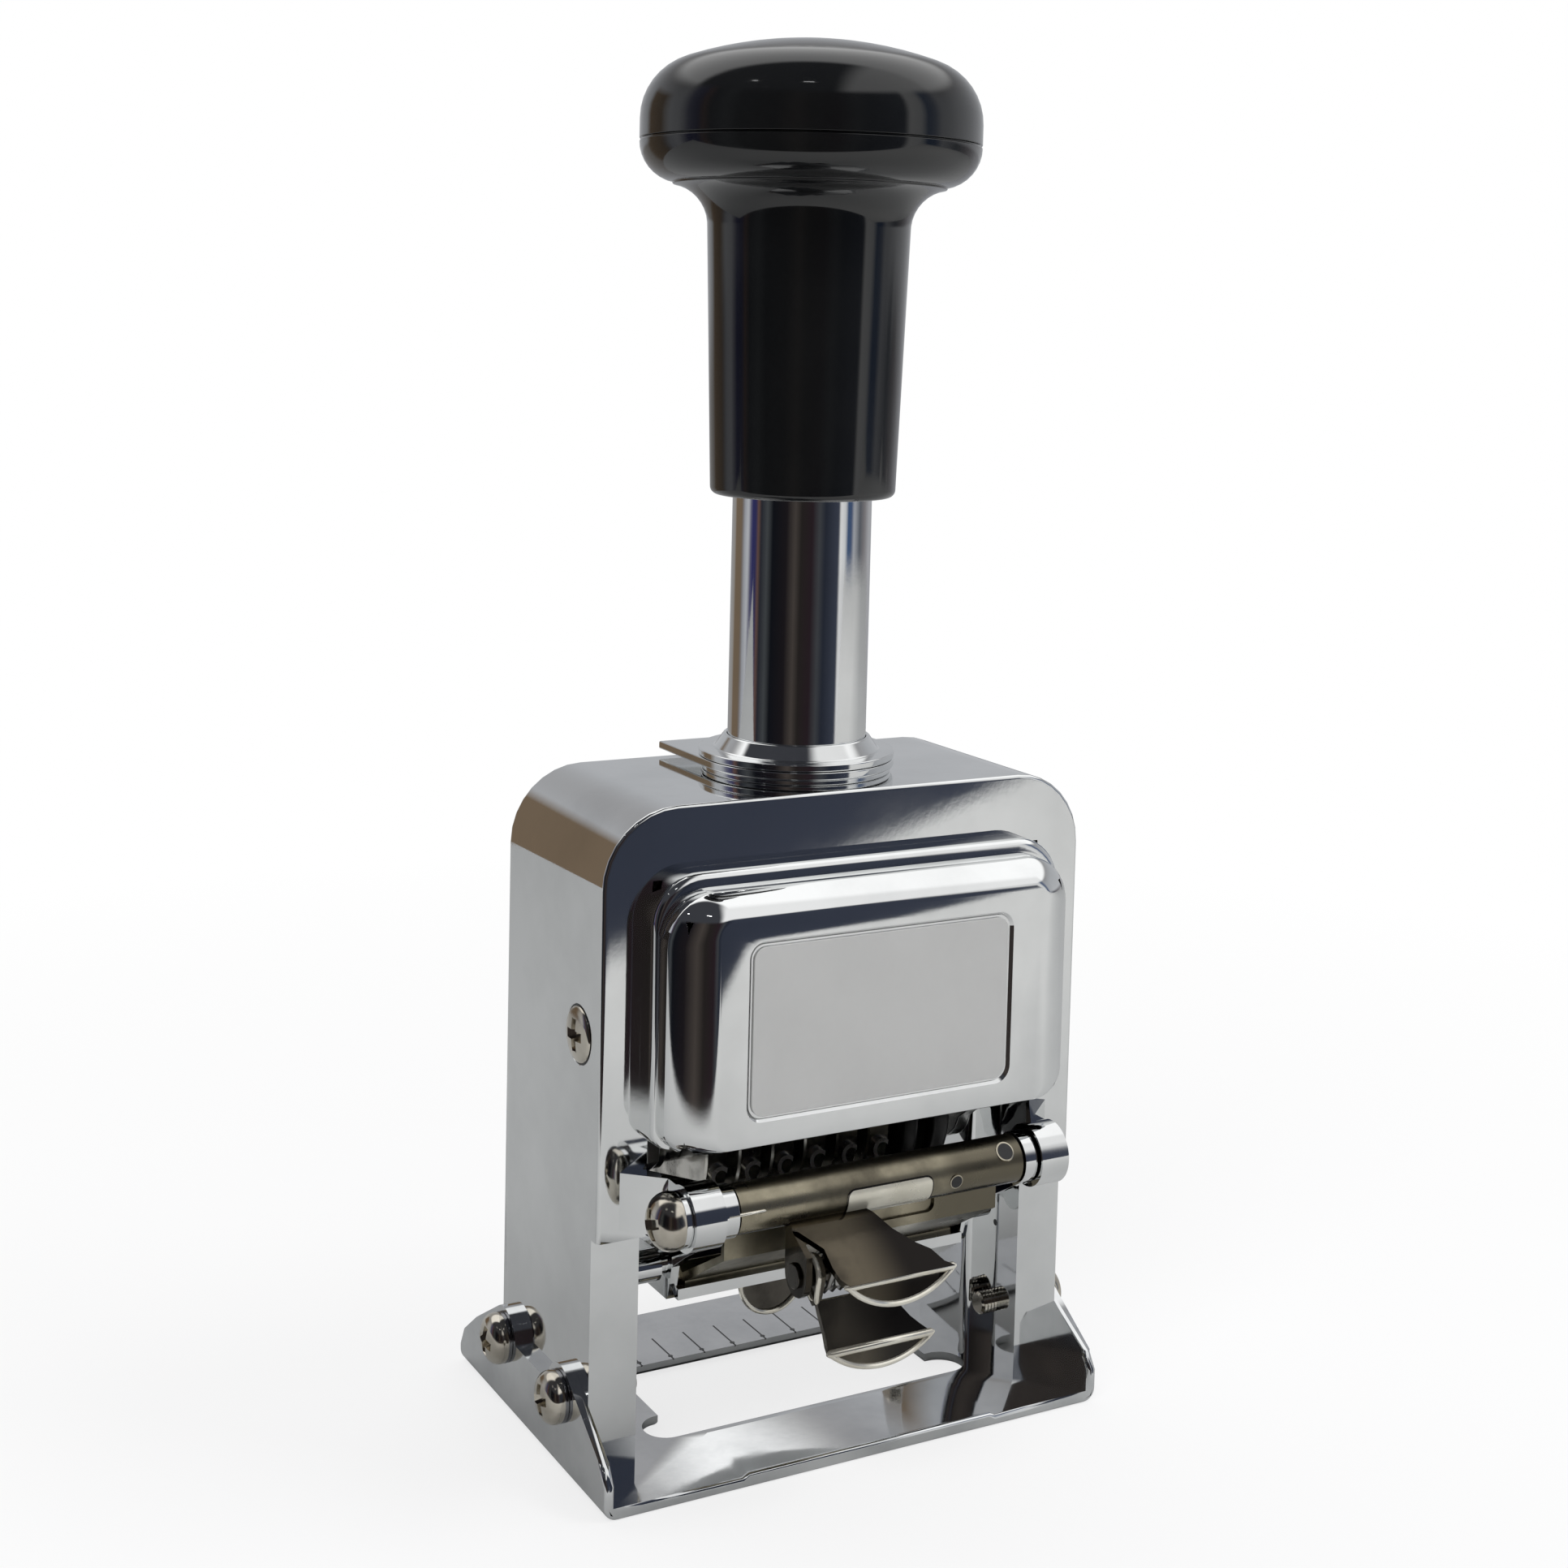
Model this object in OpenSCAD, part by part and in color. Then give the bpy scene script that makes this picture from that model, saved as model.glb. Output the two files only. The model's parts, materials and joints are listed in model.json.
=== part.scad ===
// Numbering machine: a hand stamp with six number wheels, a swing-out ink tray
// and a long knob that is pressed down. The origin lies on the plunger's axis
// at table level, +X to the right, +Y to the rear, +Z up, in millimetres.

/* [Frame] */
// Width over both legs
frame_w = 67.6; // [66:0.1:72]
// Height of the frame above the base sheet
frame_h = 81.1; // [80.6:0.1:84]
// Plunger axis to the front face of the upper part
frame_front = 15.4; // [15:0.1:16.5]
// Plunger axis to the rear face
frame_rear = 13.7; // [13.5:0.1:15]
// Thickness of each leg
leg_t = 6.3; // [5.8:0.1:7]
// Thickness of the roof
roof_t = 6; // [5:0.1:6.2]
// Radius of the upper outer corners
corner_r = 9.5; // [7:0.1:11]
// Height of the legs' set-back part above the base sheet
step_h = 29.4; // [27:0.1:30]
// Depth of the set-back
step_d = 1.7; // [1:0.1:2]

/* [Base] */
// Thickness of the base sheet
base_t = 1.3; // [1:0.1:1.6]
// Plunger axis to the base's front edge
base_front = 21.8; // [20.5:0.1:23]
// Plunger axis to the base's rear edge
base_rear = 25.5; // [24:0.1:28]
// Thickness of each ear
ear_t = 1.25; // [1:0.05:1.5]
// Height of the base screws' axes
base_screw_z = 9.5; // [8.8:0.1:10.5]
// Plunger axis forward to the front base screw
front_screw_y = 8; // [7.8:0.1:8.8]
// Plunger axis back to the rear base screw
rear_screw_y = 10; // [8.5:0.1:10.2]

/* [Plunger] */
// Outer diameter of the plunger tube
tube_d = 17.8; // [16.8:0.1:18.2]
// Wall of the plunger tube
tube_wall = 1.2; // [1:0.05:1.4]
// Travel of the plunger from rest to the print
travel = 26; // [24:0.1:26]
// Bare tube between the collar and the knob at rest
bare_tube = 30.7; // [28:0.1:36]

/* [Knob] */
// Greatest diameter of the knob
knob_d = 43.3; // [40:0.1:48]
// Diameter of the sleeve's lower end
sleeve_low_d = 23.7; // [22.5:0.1:24.5]
// Diameter of the sleeve's upper end
sleeve_high_d = 25.8; // [25:0.1:27]
// Length of the sleeve below the round neck
sleeve_h = 33.9; // [30:0.1:40]
// Height of the cap above the seam
cap_h = 13.1; // [12:0.1:15]

/* [Wheels] */
// Outer diameter of a number wheel over its digits
wheel_d = 21.4; // [20.6:0.1:21.4]
// Distance from one wheel to the next
wheel_pitch = 4.65; // [4.6:0.01:4.7]
// Width of a wheel's digit rim
rim_w = 3.2; // [2.9:0.05:3.25]
// Diameter of the wheel axle
axle_d = 5; // [4:0.1:5.4]
// Gap under the wheels when they print
print_gap = 0.2; // [0.1:0.05:0.4]

/* [Front shaft and tray] */
// Diameter of the front shaft
shaft_d = 3.2; // [2.8:0.1:3.4]
// Height of the front shaft's axis
shaft_z = 35.5; // [35.2:0.1:36]
// Plunger axis forward to the front shaft
shaft_y = 23.2; // [22.8:0.1:23.6]
// Diameter of the shaft lugs
lug_d = 7.8; // [7:0.1:7.8]
// Height of the tray's underside
tray_z = 20.1; // [19.9:0.1:20.4]
// Thickness of the tray's sheet
tray_t = 1; // [0.8:0.05:1]
// Gap between the ink pad and the wheels at rest
pad_gap = 0.5; // [0.4:0.05:0.8]

/* [Hidden] */

$fn = 64;
// Overrun of a cut past the face it opens
cut = 1;
// Steps of a round stretch in an outline
arc_steps = 8;
// Radial running clearance of a shaft or slide
run_gap = 0.05;
// Clearance between flat sliding faces
slide_gap = 0.1;
// Clearance of a slot round a bar
slot_gap = 0.4;
// Radial clearance of a screw in its hole
thread_fit = 0.02;

// Frame
half_w = frame_w / 2;
inner_w = half_w - leg_t;
frame_z = base_t + frame_h;
ceiling_z = frame_z - roof_t;
step_z = base_t + step_h;
inner_r = 3.5;
rail_t = 2.9;
rail_w = 11.8;
rail_r = 1.2;
rail_x = inner_w - rail_t;
rim_d = 2.4;
rim_lap = 1.2;

// Front cover
cover_low_z = 42.3;
cover_lap = 1.2;
cover_top_gap = 7.5;
cover_t1 = 3.5;
cover_step = 0.6;
cover_drop = 1.7;
cover_t2 = 3.4;
cover_t3 = 2.26;
cover_slope_w = 5.2;
cover_slope_h = 2.6;
cover_r = 5.6;
cover_wall = 1.8;
cover_half = inner_w + cover_lap;
cover_half_2 = cover_half - cover_step;
cover_flat_half = cover_half_2 - cover_slope_w;
cover_top_z = frame_z - cover_top_gap;
cover_top_2 = cover_top_z - cover_drop;
cover_flat_z = cover_top_2 - cover_slope_h;
cover_y1 = frame_front + cover_t1;
cover_y2 = cover_y1 + cover_t2;
cover_y3 = cover_y2 + cover_t3;
cover_hollow_half = cover_flat_half + cover_slope_w - cover_wall;

// Label recess and label
label_w = 35.9;
label_h = 20.6;
label_x = -0.65;
label_low = 4.2;
recess_d = 0.35;
label_t = 0.3;
label_gap = 0.15;
label_r = 1.6;
label_z = cover_low_z + label_low;

// Side screws and the cover's lugs they hold
side_screw_y = 9.1;
side_screw_z = 54.3;
side_screw_r = 1.6;
side_head_r = 3.7;
side_head_h = 2;
side_dome_h = 0.8;
lug_plate_t = 1.5;
lug_plate_gap = 0.1;
lug_plate_h = 8.6;
lug_plate_rear = 6.5;
lug_plate_x = inner_w - lug_plate_gap - lug_plate_t;
cover_hook_d = 1.6;

// Rear cover
rear_t = 1.5;
rear_half = inner_w + 5.1;
rear_r = 4;
rear_low = 31;
rear_top_gap = 7.5;
rear_screw_r = 1.25;
rear_head_r = 2.6;
rear_head_h = 1.6;
rear_screw_l = 6;
rear_screw_in = 2.4;
rear_screw_up = 5;
rear_top_z = frame_z - rear_top_gap;
rear_screw_x = rear_half - rear_screw_in;

// Base plate
ear_half = half_w + ear_t;
bend_r = 1.7;
lobe_r = 3.9;
ear_nose_z = 4.2;
ear_slant_z = 6;
ear_slant_d = 1.2;
ear_tail_z = 8.3;
ear_tail_d = 6;
ear_heel_z = 4.5;
ear_heel_d = 1;
ear_foot_z = 2.5;
opening_front = 8.8;
opening_rear = 10.7;
opening_left = 19.2;
opening_right = 20.5;
opening_slot_w = 6;
opening_slot_left = 22.5;
opening_slot_right = 24.3;
emboss_h = 0.5;
emboss_left = 16.9;
emboss_right = 19.4;
emboss_side = 0.8;
emboss_rear = 10.5;
tick_w = 0.25;
tick_d = 0.15;
tick_l = 6.7;
tick_n = 7;
tick_x = 12.8;
plate_top = base_t + emboss_h;

// Base screws
base_screw_r = 1.5;
base_head_r = 3.2;
base_head_h = 2.3;
washer_r = 3.2;
washer_t = 0.5;
base_tip = 2.3;
recess_w = 0.9;
recess_l = 3.6;
recess_deep = 1;
screw_fit = 0.05;

// Shaft lugs of the frame
lug_r = lug_d / 2;
tray_shift = -0.5;
lug_reach = 5.4;
lug_in = inner_w - lug_reach;
lug_l = 4;
lug_out = lug_in + lug_l;
lug_foot = 3;
lug_neck_share = 0.9;
shaft_r = shaft_d / 2;

// Collar and lock plate
tube_r = tube_d / 2;
bush_wall = 0.75;
bush_r = tube_r + run_gap + bush_wall;
bush_l = 2.4;
seat_h = 0.7;
seat_r = 12.2;
lock_t = 1;
lock_r = 12.6;
lock_travel = 1.2;
lock_overhang = 0.9;
lock_hole_r = bush_r + slide_gap;
lock_slot = lock_travel + slide_gap;
flange_h = 0.9;
cone_rim = 0.4;
cone_low_r = 10.6;
cone_high_r = tube_r + run_gap + cone_rim;
cone_h = 1.8;
seat_top = frame_z + seat_h;
lock_z = seat_top + run_gap;
flange_z = lock_z + lock_t + run_gap;
collar_top = flange_z + flange_h + cone_h;

// Wheels and their head
wheel_r = wheel_d / 2;
axle_r = axle_d / 2;
axle_z = travel + print_gap + wheel_r;
digit_h = 0.6;
digit_w = 2.2;
digit_l = 3.8;
digits = 10;
wheel_n = 6;
plain_n = 2;
stack_shift = 1;
first_wheel_x = stack_shift - (wheel_n + plain_n - 1) / 2 * wheel_pitch;
ratchet_r = 7;
ratchet_root = 5.9;
ratchet_w = 1.3;
ratchet_lead_share = 0.85;
disc_w = 3.3;
disc_less = 0.5;
disc_r = wheel_r - disc_less;
disc_edge = 0.9;
plate_t = 1.8;
plate_x = rail_x - slide_gap;
plate_in = plate_x - plate_t;
plate_half = 9;
plate_foot_r = 6.5;
plate_top_gap = 0.4;
plate_low_z = axle_z - plate_foot_r;
plate_high_z = ceiling_z - plate_top_gap;
comb_gap = 0.4;
comb_t = 0.6;
comb_half = 4;
comb_tip_gap = 0.5;
finger_w = 0.9;
finger_half = 0.8;
bridge_t = 3.4;
bridge_half = 9.2;
comb_z = axle_z + wheel_r + comb_gap;
bridge_z = comb_z + comb_t;
bridge_top = bridge_z + bridge_t;
yoke_side = 2.3;
yoke_t = 1;
yoke_in = plate_in - yoke_side - yoke_t;
yoke_hub_r = 4.2;
yoke_arm_half = 1.1;
rod_r = 1;
rod_gap = 0.4;
rod_rise = 46;
rod_c = wheel_r + rod_gap + rod_r;
pawl_half = 0.8;
sleeve_r = 3.6;
sleeve_gap = 0.05;

// Cross bar, spring seat and return spring
bar_r = 2;
bar_lift = 4.4;
bar_grip = 2;
bar_z = bridge_top + bar_lift;
seat_gap = 0.5;
seat_t = 1.2;
seat_dip = 0.6;
spring_wire_r = 0.7;
spring_play = 0.5;
spring_curls = 13;
tube_in_r = tube_r - tube_wall;
seat_disc_r = tube_in_r - seat_gap;
seat_disc_z = bar_z + bar_r - seat_dip;
spring_z = seat_disc_z + seat_t;
spring_r = tube_in_r - spring_play - spring_wire_r;

// Knob
knob_z = collar_top + bare_tube;
knob_r = knob_d / 2;
sleeve_low_r = sleeve_low_d / 2;
sleeve_high_r = sleeve_high_d / 2;
sleeve_edge_r = 1;
neck_r = 5.2;
neck_rise = 5.2;
belly_r = 5.1;
belly_lift = 5.25;
belly_turn = 80;
neck_turn = 98;
tube_roof = 10;
seam_d = 0.35;
seam_h = 0.25;
cap_edge_r = 8;
cap_dome_r = 50;
sleeve_z = knob_z + sleeve_h;
neck_x = sleeve_high_r + neck_r;
seam_z = sleeve_z + neck_rise + belly_lift;
belly_x = knob_r - belly_r;
cap_z = seam_z + cap_h;
tube_top = seam_z - tube_roof;
spring_l = tube_top - spring_z;
dome_z = cap_z - cap_dome_r;
edge_x = knob_r - cap_edge_r;
edge_reach = cap_dome_r - cap_edge_r;
edge_turn = acos(edge_x / edge_reach);
edge_z = dome_z + edge_reach * sin(edge_turn);

// Shaft ends
lug_clear = 0.3;
shaft_washer_t = 1;
shaft_washer_r = 3.35;
shaft_head_r = 3.45;
shaft_head_h = 3.3;
shaft_nut_r = 3;
shaft_nut_h = 1.4;
lug_bare = max(shaft_head_r, shaft_washer_r) + lug_clear;

// Ink tray
knuckle_r = 3.2;
knuckle_gap = 0.3;
knuckle_w = 1.7;
knuckle_out = lug_in - knuckle_gap;
knuckle_in = knuckle_out - knuckle_w;
arm_gap = 0.4;
arm_out = lug_in - arm_gap;
arm_t = 1.1;
arm_in = arm_out - arm_t;
tray_front = 11.6;
tray_rear = 6;
lip_t = 0.8;
lip_h = 1.4;
arm_nose_y = 15.4;
arm_nose_z = 27.1;
arm_knee_y = 11.9;
arm_knee_z = 24.6;
arm_back_z = 24.5;
arm_rise_y = 8;
arm_rise_z = 25.2;
arm_neck_y = 14;
arm_neck_z = 30.5;
arm_chin = 1;
stud_y = 8.8;
stud_z = 24;
stud_r = 2;
stud_l = 4.1;
stud_neck_r = 1.3;
stud_neck_l = 0.7;
shaft_turn_low = 235;
shaft_turn_high = 48;

// Pad, holder and lid
pad_z = axle_z - wheel_r - pad_gap;
holder_side = 0.5;
holder_half = arm_in - holder_side;
holder_t = 0.8;
holder_gap = 0.3;
holder_h = 3.2;
pad_margin = 0.2;
lid_t = 0.8;
lid_side = 0.8;
lid_half = holder_half - lid_side;
lid_sleeve_r = 3;
lid_sleeve_gap = 0.3;
lid_sleeve_half = knuckle_in - lid_sleeve_gap;
lid_y = 21;
lid_top_z = 34;
lid_knee_z = 28.4;
lid_low_z = 22.8;
panel_x = -1.9;
panel_w = 12;
panel_low = 29.5;
panel_high = 32.9;
panel_d = 0.4;
panel_r = 1;
lid_low_y = tray_front - lip_t;
tongue_root_y = 25;
tongue_root_z = 33.2;
tongue_y = 34.2;
tongue_z = 28.1;
tongue_x = -2.7;
tongue_w = 14.4;
tongue_lip = 3.1;
tongue_left_shares = [
    [-0.722, 0], [-0.722, 0.12], [-0.55, 0.46],
    [-0.563, 0.72], [-0.549, 0.89], [-0.5, 1]
];
tongue_right_shares = [
    [0.5, 1], [0.43, 0.92], [0.37, 0.73], [0.27, 0.61],
    [0.13, 0.36], [0.05, 0.11], [-0.014, 0]
];
bracket_left = 13.1;
bracket_span = 10.6;
bracket_t = 0.8;
bracket_r = 2.6;
bracket_right = bracket_span - bracket_left;
pin_y = 27.3;
pin_z = 27.9;
pin_r = 1.5;
pin_over = 0.4;

// Latch lever, its spring, and the pull tab
lever_gap = 1.3;
lever_t = 0.8;
lever_r = 2.2;
lever_fold_y = 30.2;
lever_fold_z = 18.4;
lever_w = 14;
lever_top_z = 24.8;
lever_top_y = 28.6;
lever_lip = 2.6;
lever_left_shares = [[-0.5, 0], [-0.52, 0.17], [-0.53, 0.4], [-0.56, 0.72], [-0.58, 1]];
lever_right_shares = [[-0.15, 1], [0.22, 0.65], [0.31, 0.42], [0.4, 0.25], [0.5, 0.08], [0.5, 0]];
tab_x = 7;
tab_r = 4.5;
tab_t = 0.8;
tab_y = 10.4;
twist_wire_r = 0.33;
twist_r = 2.35;
twist_pitch = 1.08;
twist_curls = 3;
twist_x = -9.7;
twist_leg = 2.4;
twist_turn = 205;
lever_in_left = bracket_left - bracket_t - lever_gap;
lever_in_right = bracket_right - bracket_t - lever_gap;

chrome = [0.80, 0.81, 0.83];
chrome_dark = [0.62, 0.63, 0.65];
nickel = [0.66, 0.62, 0.50];
nickel_dark = [0.45, 0.42, 0.34];
black = [0.04, 0.04, 0.05];
steel = [0.70, 0.71, 0.72];
paper = [0.80, 0.81, 0.82];
ink = [0.08, 0.08, 0.14];

// Points of a round stretch from angle a to angle b
function arc(x, y, r, a, b) = [
    for (i = [0:arc_steps])
        [x + r * cos(a + (b - a) * i / arc_steps), y + r * sin(a + (b - a) * i / arc_steps)]
];

// Rectangle with all four corners round
function round_box(x0, x1, y0, y1, r) = concat(
    arc(x1 - r, y0 + r, r, -90, 0),
    arc(x1 - r, y1 - r, r, 0, 90),
    arc(x0 + r, y1 - r, r, 90, 180),
    arc(x0 + r, y0 + r, r, 180, 270)
);

// Panel from a straight lower edge to round upper corners
function panel(half, z0, z1, r) = concat(
    [[-half, z0], [half, z0]],
    arc(half - r, z1 - r, r, 0, 90),
    arc(-half + r, z1 - r, r, 90, 180)
);

// A (y, z) outline drawn out along X
module along_x(x0, x1) {
    translate([x0, 0, 0])
        rotate([90, 0, 90])
            linear_extrude(x1 - x0)
                children();
}

// An (x, z) outline drawn out along Y
module along_y(y0, y1) {
    translate([0, y1, 0])
        rotate([90, 0, 0])
            linear_extrude(y1 - y0)
                children();
}

// A round bar along X
module rod_x(x0, x1, y, z, r) {
    translate([x0, y, z])
        rotate([0, 90, 0])
            cylinder(h = x1 - x0, r = r);
}

// A round bar along Y
module rod_y(y0, y1, x, z, r) {
    translate([x, y1, z])
        rotate([90, 0, 0])
            cylinder(h = y1 - y0, r = r);
}

module both_sides() {
    children();
    mirror([1, 0, 0])
        children();
}

// The front shaft's own middle
module on_shaft() {
    translate([tray_shift, 0, 0])
        children();
}

// A box between two corners
module block(x0, x1, y0, y1, z0, z1) {
    translate([x0, y0, z0])
        cube([x1 - x0, y1 - y0, z1 - z0]);
}

// A shallow dome on the XY plane, turned with its axis along +Z
module dome(r, h) {
    ball_r = (r * r + h * h) / (2 * h);
    dome_turn = asin(r / ball_r);
    rotate_extrude()
        polygon(concat([[0, 0]], arc(0, h - ball_r, ball_r, 90 - dome_turn, 90)));
}

// Crossed recess cut into a screw head
module cross_recess(w, l, deep) {
    translate([-l / 2, -w / 2, -deep])
        cube([l, w, deep + cut]);
    translate([-w / 2, -l / 2, -deep])
        cube([w, l, deep + cut]);
}

// Outline of the arch above height z0, open below
module arch(z0) {
    polygon(concat(
        [[inner_w, z0], [half_w, z0]],
        arc(half_w - corner_r, frame_z - corner_r, corner_r, 0, 90),
        arc(-half_w + corner_r, frame_z - corner_r, corner_r, 90, 180),
        [[-half_w, z0], [-inner_w, z0]],
        arc(-inner_w + inner_r, ceiling_z - inner_r, inner_r, 180, 90),
        arc(inner_w - inner_r, ceiling_z - inner_r, inner_r, 90, 0)
    ));
}

// Guide rail on a leg's inner face
module rail() {
    translate([0, 0, base_t])
        linear_extrude(ceiling_z - base_t)
            polygon(concat(
                [[inner_w, rail_w / 2]],
                arc(rail_x + rail_r, rail_w / 2 - rail_r, rail_r, 90, 180),
                arc(rail_x + rail_r, -rail_w / 2 + rail_r, rail_r, 180, 270),
                [[inner_w, -rail_w / 2]]
            ));
}

// Barrel and flared neck that carry one end of the front shaft
module shaft_lug() {
    neck_h = lug_r * lug_neck_share;
    rod_x(lug_in, lug_out, -shaft_y, shaft_z, lug_r);
    translate([0, 0, shaft_z - neck_h])
        linear_extrude(2 * neck_h)
            polygon([
                [lug_in, -shaft_y],
                [lug_out, -shaft_y],
                [lug_out, lug_bare - shaft_y],
                [inner_w + lug_foot, -frame_front],
                [inner_w, -frame_front]
            ]);
}

module frame_body() {
    color(chrome)
        difference() {
            union() {
                along_y(-frame_front, frame_rear)
                    arch(step_z);
                block(
                    -inner_w, inner_w, -frame_front, rim_d - frame_front,
                    cover_top_z - rim_lap, ceiling_z + rim_lap
                );
                block(
                    -inner_w, inner_w, frame_rear - rim_d, frame_rear,
                    rear_top_z - rim_lap, ceiling_z + rim_lap
                );
                both_sides() {
                    block(inner_w, half_w, step_d - frame_front, frame_rear, base_t, step_z);
                    rail();
                }
                on_shaft()
                    both_sides()
                        shaft_lug();
            }
            translate([0, 0, ceiling_z - cut])
                cylinder(h = roof_t + 2 * cut, r = tube_r + run_gap);
            translate([0, 0, frame_z - bush_l])
                cylinder(h = bush_l + cut, r = bush_r);
            rod_x(-inner_w - bar_grip, inner_w + bar_grip, 0, bar_z, bar_r);
            on_shaft()
                rod_x(-lug_out - cut, lug_out + cut, -shaft_y, shaft_z, shaft_r);
            both_sides() {
                rod_x(inner_w - cut, half_w + cut, -front_screw_y, base_screw_z, base_screw_r + thread_fit);
                rod_x(inner_w - cut, half_w + cut, rear_screw_y, base_screw_z, base_screw_r + thread_fit);
                rod_x(inner_w - cut, half_w + cut, -side_screw_y, side_screw_z, side_screw_r + thread_fit);
                side_sink();
                for (z = [rear_low + rear_screw_up, rear_top_z - rear_screw_up])
                    rod_y(
                        frame_rear - rear_screw_l - thread_fit, frame_rear + cut,
                        rear_screw_x, z, rear_screw_r + thread_fit
                    );
            }
        }
}

// Countersink of a side screw in the right leg
module side_sink() {
    translate([half_w - side_head_h, -side_screw_y, side_screw_z])
        rotate([0, 90, 0])
            cylinder(h = side_head_h, r1 = side_screw_r, r2 = side_head_r);
}

module front_cover() {
    color(chrome)
        difference() {
            union() {
                along_y(-cover_y1, -frame_front)
                    polygon(panel(cover_half, cover_low_z, cover_top_z, cover_r));
                intersection() {
                    along_y(-cover_y3, -cover_y1)
                        polygon(panel(cover_half_2, cover_low_z, cover_top_2, cover_r));
                    translate([0, 0, cover_low_z])
                        linear_extrude(cover_top_2 - cover_low_z)
                            polygon([
                                [-cover_half_2, -cover_y1],
                                [-cover_half_2, -cover_y2],
                                [-cover_flat_half, -cover_y3],
                                [cover_flat_half, -cover_y3],
                                [cover_half_2, -cover_y2],
                                [cover_half_2, -cover_y1]
                            ]);
                    along_x(-cover_half_2, cover_half_2)
                        polygon([
                            [-cover_y1, cover_low_z],
                            [-cover_y3, cover_low_z],
                            [-cover_y3, cover_flat_z],
                            [-cover_y2, cover_top_2],
                            [-cover_y1, cover_top_2]
                        ]);
                }
                both_sides()
                    block(
                        lug_plate_x, lug_plate_x + lug_plate_t,
                        -frame_front - cover_hook_d, -lug_plate_rear,
                        side_screw_z - lug_plate_h / 2, side_screw_z + lug_plate_h / 2
                    );
            }
            difference() {
                block(
                    -cover_hollow_half, cover_hollow_half,
                    -cover_y3 + cover_wall, -frame_front + cut,
                    cover_low_z - cut, cover_flat_z
                );
                both_sides()
                    block(
                        lug_plate_x, lug_plate_x + lug_plate_t,
                        -frame_front - cover_hook_d, -lug_plate_rear,
                        side_screw_z - lug_plate_h / 2, side_screw_z + lug_plate_h / 2
                    );
            }
            along_y(-cover_y3 - cut, -cover_y3 + recess_d)
                polygon(round_box(
                    label_x - label_w / 2, label_x + label_w / 2,
                    label_z, label_z + label_h, label_r
                ));
            both_sides()
                rod_x(lug_plate_x - cut, inner_w, -side_screw_y, side_screw_z, side_screw_r + thread_fit);
        }
}

module label_plate() {
    color(paper)
        along_y(-cover_y3 + recess_d - label_t, -cover_y3 + recess_d)
            polygon(round_box(
                label_x - label_w / 2 + label_gap, label_x + label_w / 2 - label_gap,
                label_z + label_gap, label_z + label_h - label_gap, label_r
            ));
}

module rear_cover() {
    color(chrome)
        difference() {
            along_y(frame_rear, frame_rear + rear_t)
                polygon(round_box(-rear_half, rear_half, rear_low, rear_top_z, rear_r));
            both_sides()
                for (z = [rear_low + rear_screw_up, rear_top_z - rear_screw_up])
                    rod_y(
                        frame_rear - cut, frame_rear + rear_t + cut,
                        rear_screw_x, z, rear_screw_r + thread_fit
                    );
        }
}

// Pan-head screw of the rear cover, side -1 or 1, at height z
module rear_screw(side, z) {
    color(steel)
        difference() {
            union() {
                rod_y(frame_rear - rear_screw_l, frame_rear + rear_t, side * rear_screw_x, z, rear_screw_r);
                translate([side * rear_screw_x, frame_rear + rear_t, z])
                    rotate([-90, 0, 0])
                        dome(rear_head_r, rear_head_h);
            }
            translate([side * rear_screw_x, frame_rear + rear_t + rear_head_h, z])
                rotate([-90, 0, 0])
                    cross_recess(recess_w, recess_l * rear_head_r / base_head_r, recess_deep);
        }
}

// Side outline of an ear, with a lobe round each base screw
module ear_outline() {
    polygon(concat(
        [
            [-base_front, 0],
            [-base_front, ear_nose_z],
            [ear_slant_d - base_front, ear_slant_z]
        ],
        arc(-front_screw_y, base_screw_z, lobe_r, 128, 5),
        arc(rear_screw_y, base_screw_z, lobe_r, 175, 52),
        [
            [base_rear - ear_tail_d, ear_tail_z],
            [base_rear - ear_heel_d, ear_heel_z],
            [base_rear, ear_foot_z],
            [base_rear, 0]
        ]
    ));
}

module base_plate() {
    color(chrome)
        difference() {
            union() {
                intersection() {
                    union() {
                        block(-ear_half, ear_half, -base_front, base_rear, 0, base_t);
                        both_sides()
                            along_x(half_w, ear_half)
                                ear_outline();
                    }
                    along_y(-base_front, base_rear)
                        polygon(concat(
                            [[ear_half, base_screw_z + lobe_r + cut], [-ear_half, base_screw_z + lobe_r + cut]],
                            arc(-ear_half + bend_r, bend_r, bend_r, 180, 270),
                            arc(ear_half - bend_r, bend_r, bend_r, 270, 360)
                        ));
                }
                along_y(-base_front, -emboss_rear)
                    polygon([
                        [-emboss_left, base_t],
                        [emboss_right, base_t],
                        [emboss_right - emboss_side, plate_top],
                        [emboss_side - emboss_left, plate_top]
                    ]);
            }
            block(
                -opening_left, opening_right, -opening_front, opening_rear,
                -cut, plate_top + cut
            );
            translate([0, 0, -cut])
                linear_extrude(plate_top + 2 * cut)
                    polygon(round_box(
                        -opening_slot_left, opening_slot_right,
                        -opening_front, opening_slot_w - opening_front, opening_slot_w / 2 - run_gap
                    ));
            for (i = [0:tick_n - 1])
                translate([tick_x - i * wheel_pitch - tick_w / 2, opening_rear - cut, base_t - tick_d])
                    cube([tick_w, tick_l + cut, tick_d + cut]);
            both_sides()
                for (y = [-front_screw_y, rear_screw_y])
                    rod_x(half_w - cut, ear_half + cut, y, base_screw_z, base_screw_r + screw_fit);
        }
}

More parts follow.
